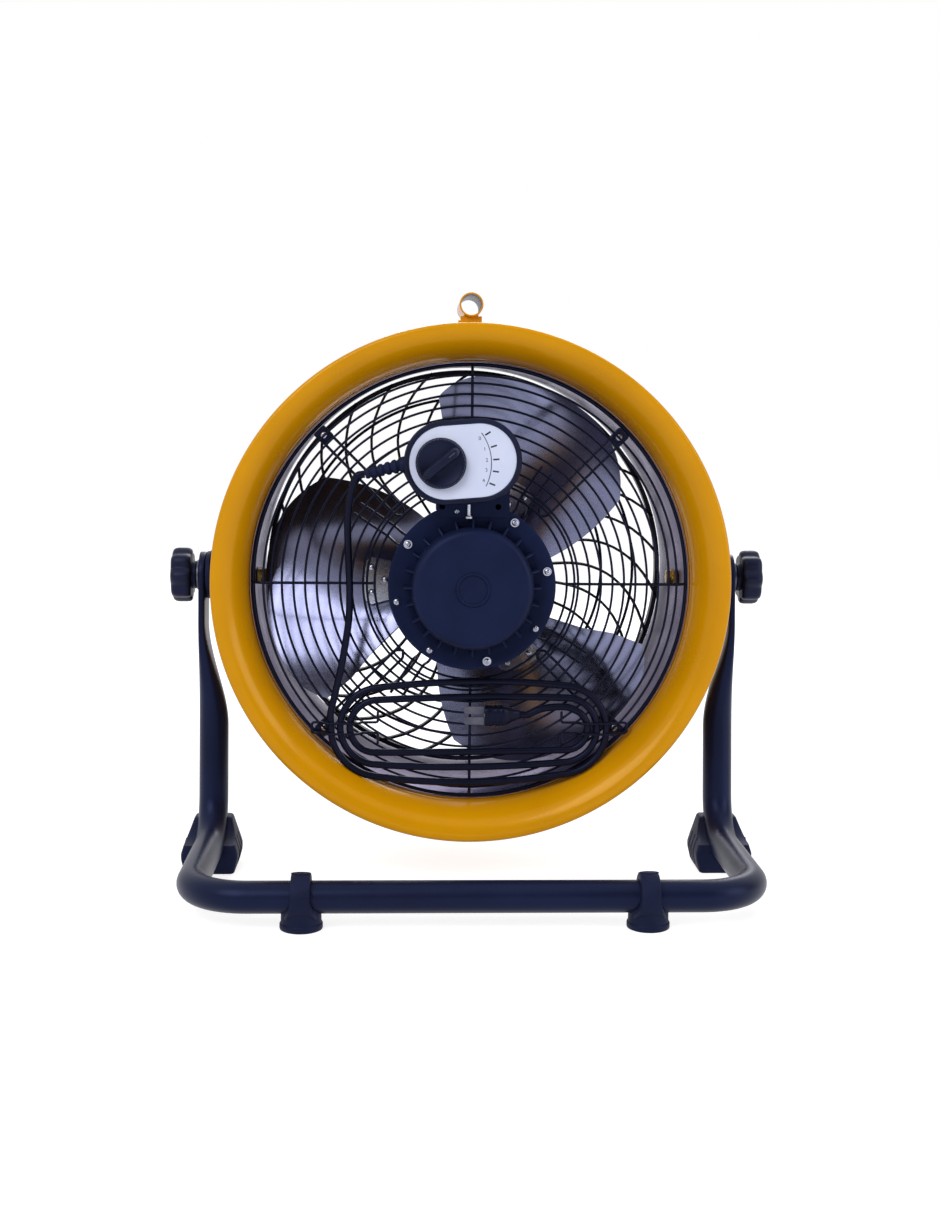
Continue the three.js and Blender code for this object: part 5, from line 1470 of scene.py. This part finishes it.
    def build_plug(self, face: Vector, turn: float) -> bpy.types.Object:
        """Moulds the plug round the cord's end, with finger grips and two flat pins.

        Args:
            face: Middle of the plug's cord end.
            turn: 1 where the plug points to +X, or -1.

        Returns:
            The plug.
        """
        middle, end = face.y + self.radius - self.plug_thick / 2, self.plug_length
        thick, wide = self.plug_thick / 2 * 0.98, self.plug_width / 2 * 0.98
        neck = 2 * self.radius / self.plug_thick * 0.97
        rows = []
        for at, size in ((0, neck), (1, neck + 0.06), (4, 0.52), (6, 0.6), (9, 0.78), (12, 0.93), (14, 0.99), (16, 1.0),
                         (17, 0.95), (18, 0.95), (19, 1.0), (20.5, 1.0), (21.5, 0.95), (22.5, 0.95), (23.5, 1.0),
                         (28.6, 1.0), (29.7, 0.97), (end, 0.9)):
            y = lerp(face.y, middle, (size - neck) / (1 - neck))
            rows.append([V(face.x + turn * at, y + u * thick * size, face.z + w * wide * size)
                         for u, w in squircle(0.55, 36)])
        plug = build("moulded_plug", Shape().skin(rows), PVC_JACKET, "plug", crease=45)
        pins = Shape()
        for z in (-4.5, 4.5):
            pins.skin([[V(face.x + turn * x, middle + a * 0.72 * share, face.z + z + b * 3.1 * share)
                        for b, a in ((-1, -1), (-1, 1), (1, 1), (1, -1))]
                       for x, share in ((end - 1, 1.0), (end + 15.6, 1.0), (end + 16.9, 0.7))])
        build("plug_pins", pins, DULL_NICKEL_AND_BORE_SHADE, crease=30)
        return plug

    def assemble(self) -> None:
        line = self.route()
        relief = self.build_relief()
        turn = math.copysign(1, line[-1].x - line[-3].x)
        plug = self.build_plug(line[-1] + V(turn * SEAT, 0, 0), turn)
        cord = build("mains_cord", Shape().tube(line, self.radius, 14), PVC_JACKET, "cord_drop", "cord_hank", crease=60)


# ---- studio


@dataclass
class Studio:
    """Camera, floor, backdrop colour and soft lamps."""

    eye: tuple[float, float, float] = (-0.0538, -1.3667, 0.3839)
    yaw: float = 2.24
    pitch: float = 6.44
    roll: float = -0.48
    focal_px: float = 1645.4
    frame_px: float = 1215.0
    sensor_mm: float = 36.0
    floor_half: float = 9.0
    floor_paint: tuple[float, ...] = (0.55, 0.55, 0.56, 1)
    floor_glow: float = 0.78
    fill: tuple[float, ...] = (0.93, 0.95, 1.0, 1)
    fill_glow: float = 0.5
    # colour of the painted reflection, a brown glow that only polished surfaces see
    cloth: str = "#3c2a1a"
    wall_line: tuple[Flat, ...] = ((-3.4, -3.4), (3.0, -3.4), (4.4, -2.0), (4.6, 1.2))
    wall_heights: Flat = (0.7, 3.6)
    lamps: tuple[tuple[str, tuple[float, float, float], float, float], ...] = (  # place, width and watts of each
        ("key", (-1.1, -1.9, 1.7), 1.4, 31), ("side", (1.9, -1.0, 0.9), 1.2, 15), ("back", (0.3, 1.9, 1.5), 1.4, 24))

    def add_camera(self) -> None:
        """Sets the camera before the fan, a little to the left and above."""
        yaw, pitch, roll = (math.radians(a) for a in (self.yaw, self.pitch, self.roll))
        ahead = V(math.sin(yaw) * math.cos(pitch), math.cos(yaw) * math.cos(pitch), -math.sin(pitch))
        right = V(math.cos(yaw), -math.sin(yaw), 0)
        up = right.cross(ahead)
        side, top = right * math.cos(roll) - up * math.sin(roll), up * math.cos(roll) + right * math.sin(roll)
        data = bpy.data.cameras.new("camera")
        data.sensor_width, data.lens = self.sensor_mm, self.focal_px / self.frame_px * self.sensor_mm
        data.clip_start, data.clip_end = 0.05, 30.0
        camera = new_object("camera", data)
        camera.matrix_world = Matrix([(s, t, -a, e) for s, t, a, e in zip(side, top, ahead, self.eye)] + [(0, 0, 0, 1)])
        bpy.context.scene.camera = camera

    def add_sheet(self, name: str, finish: str, rungs: Sequence[Point]) -> tuple[bpy.types.Object, Tree]:
        """Stretches a flat or folded sheet.

        Args:
            name: The sheet's name.
            finish: Its material's name.
            rungs: Pairs of points, from its one end to the other.

        Returns:
            The sheet and its material's empty node tree.
        """
        mesh = bpy.data.meshes.new(name)
        mesh.from_pydata(rungs, [], [(i, i + 2, i + 3, i + 1) for i in range(0, len(rungs) - 2, 2)])
        material = bpy.data.materials.new(finish)
        mesh.materials.append(material)
        return new_object(name, mesh), emptied(material)

    def add_floor(self) -> None:
        """Lays a white floor that keeps a soft shadow."""
        half = self.floor_half
        floor, tree = self.add_sheet("floor", "white_studio_floor", [(x, y, 0) for x in (-half, half)
                                                                     for y in (-half, half)])
        paint = add_node(tree, "BsdfDiffuse", {"Color": self.floor_paint})
        strength = add_node(tree, "Math", {"operation": "MULTIPLY", 1: self.floor_glow},
                            {0: seen_by(tree, "Glossy", "Transmission", "Camera")})
        glow = add_node(tree, "Emission", {"Color": linear(WHITE)}, {"Strength": strength.outputs[0]})
        both = add_node(tree, "AddShader", links={0: paint.outputs[0], 1: glow.outputs[0]})
        add_node(tree, "OutputMaterial", links={"Surface": both.outputs[0]})

    def add_dark_wall(self) -> None:
        """Hangs a painted reflection behind the camera: a dark brown glowing sheet that only polished surfaces mirror,
        standing in for the shaded yellow inside of the drum.
        """
        wall, tree = self.add_sheet("painted_reflection_card", "painted_brown_reflection",
                                    [(x, y, z) for x, y in self.wall_line for z in self.wall_heights])
        # painted reflection: a brown glow that only glossy rays meet
        cloth = add_node(tree, "Emission", {"Color": linear(self.cloth), "Strength": 1.0})
        add_node(tree, "OutputMaterial", links={"Surface": cloth.outputs[0]})
        wall.visible_camera = wall.visible_diffuse = wall.visible_shadow = wall.visible_transmission = False

    def add_lamps(self) -> None:
        """Hangs the soft lamps, each faced to the fan."""
        for name, place, size, watts in self.lamps:
            data = bpy.data.lights.new(name, "AREA")
            data.size, data.energy = size, watts
            lamp = new_object(name, data)
            lamp.location, lamp.rotation_mode = place, "QUATERNION"
            lamp.rotation_quaternion = (V(0, 0, 0.25) - Vector(place)).to_track_quat("-Z", "Y")

    def add_world(self) -> None:
        """Sets the pale surroundings."""
        world = bpy.data.worlds.new("studio")
        tree = emptied(world)
        white = add_node(tree, "Background", {"Color": linear(WHITE), "Strength": 1.0}).outputs[0]
        fill = add_node(tree, "Background", {"Color": self.fill, "Strength": self.fill_glow}).outputs[0]
        bright = seen_by(tree, "Camera", "Transmission", "Glossy")
        mixed = add_node(tree, "MixShader", links={0: bright, 1: fill, 2: white})
        add_node(tree, "OutputWorld", links={"Surface": mixed.outputs[0]})
        bpy.context.scene.world = world

    def assemble(self) -> None:
        """Builds the studio."""
        bpy.context.scene.view_settings.view_transform = "Standard"
        self.add_camera()
        self.add_floor()
        self.add_dark_wall()
        self.add_world()
        self.add_lamps()


def main() -> None:
    """Builds the studio and the fan, sub-assembly by sub-assembly."""
    logging.basicConfig(level=logging.INFO, format="%(name)s: %(message)s")
    for part in (Studio(), MainsCord(), Drum(), IntakeGuard(), OutletGrille(), Motor(), FanWheel(), SwitchBox(),
                 Stand(), *(TiltClamp(*named) for named in SIDES)):
        log.info("assembling %s", type(part).__name__)
        part.assemble()


if __name__ == "__main__":
    main()
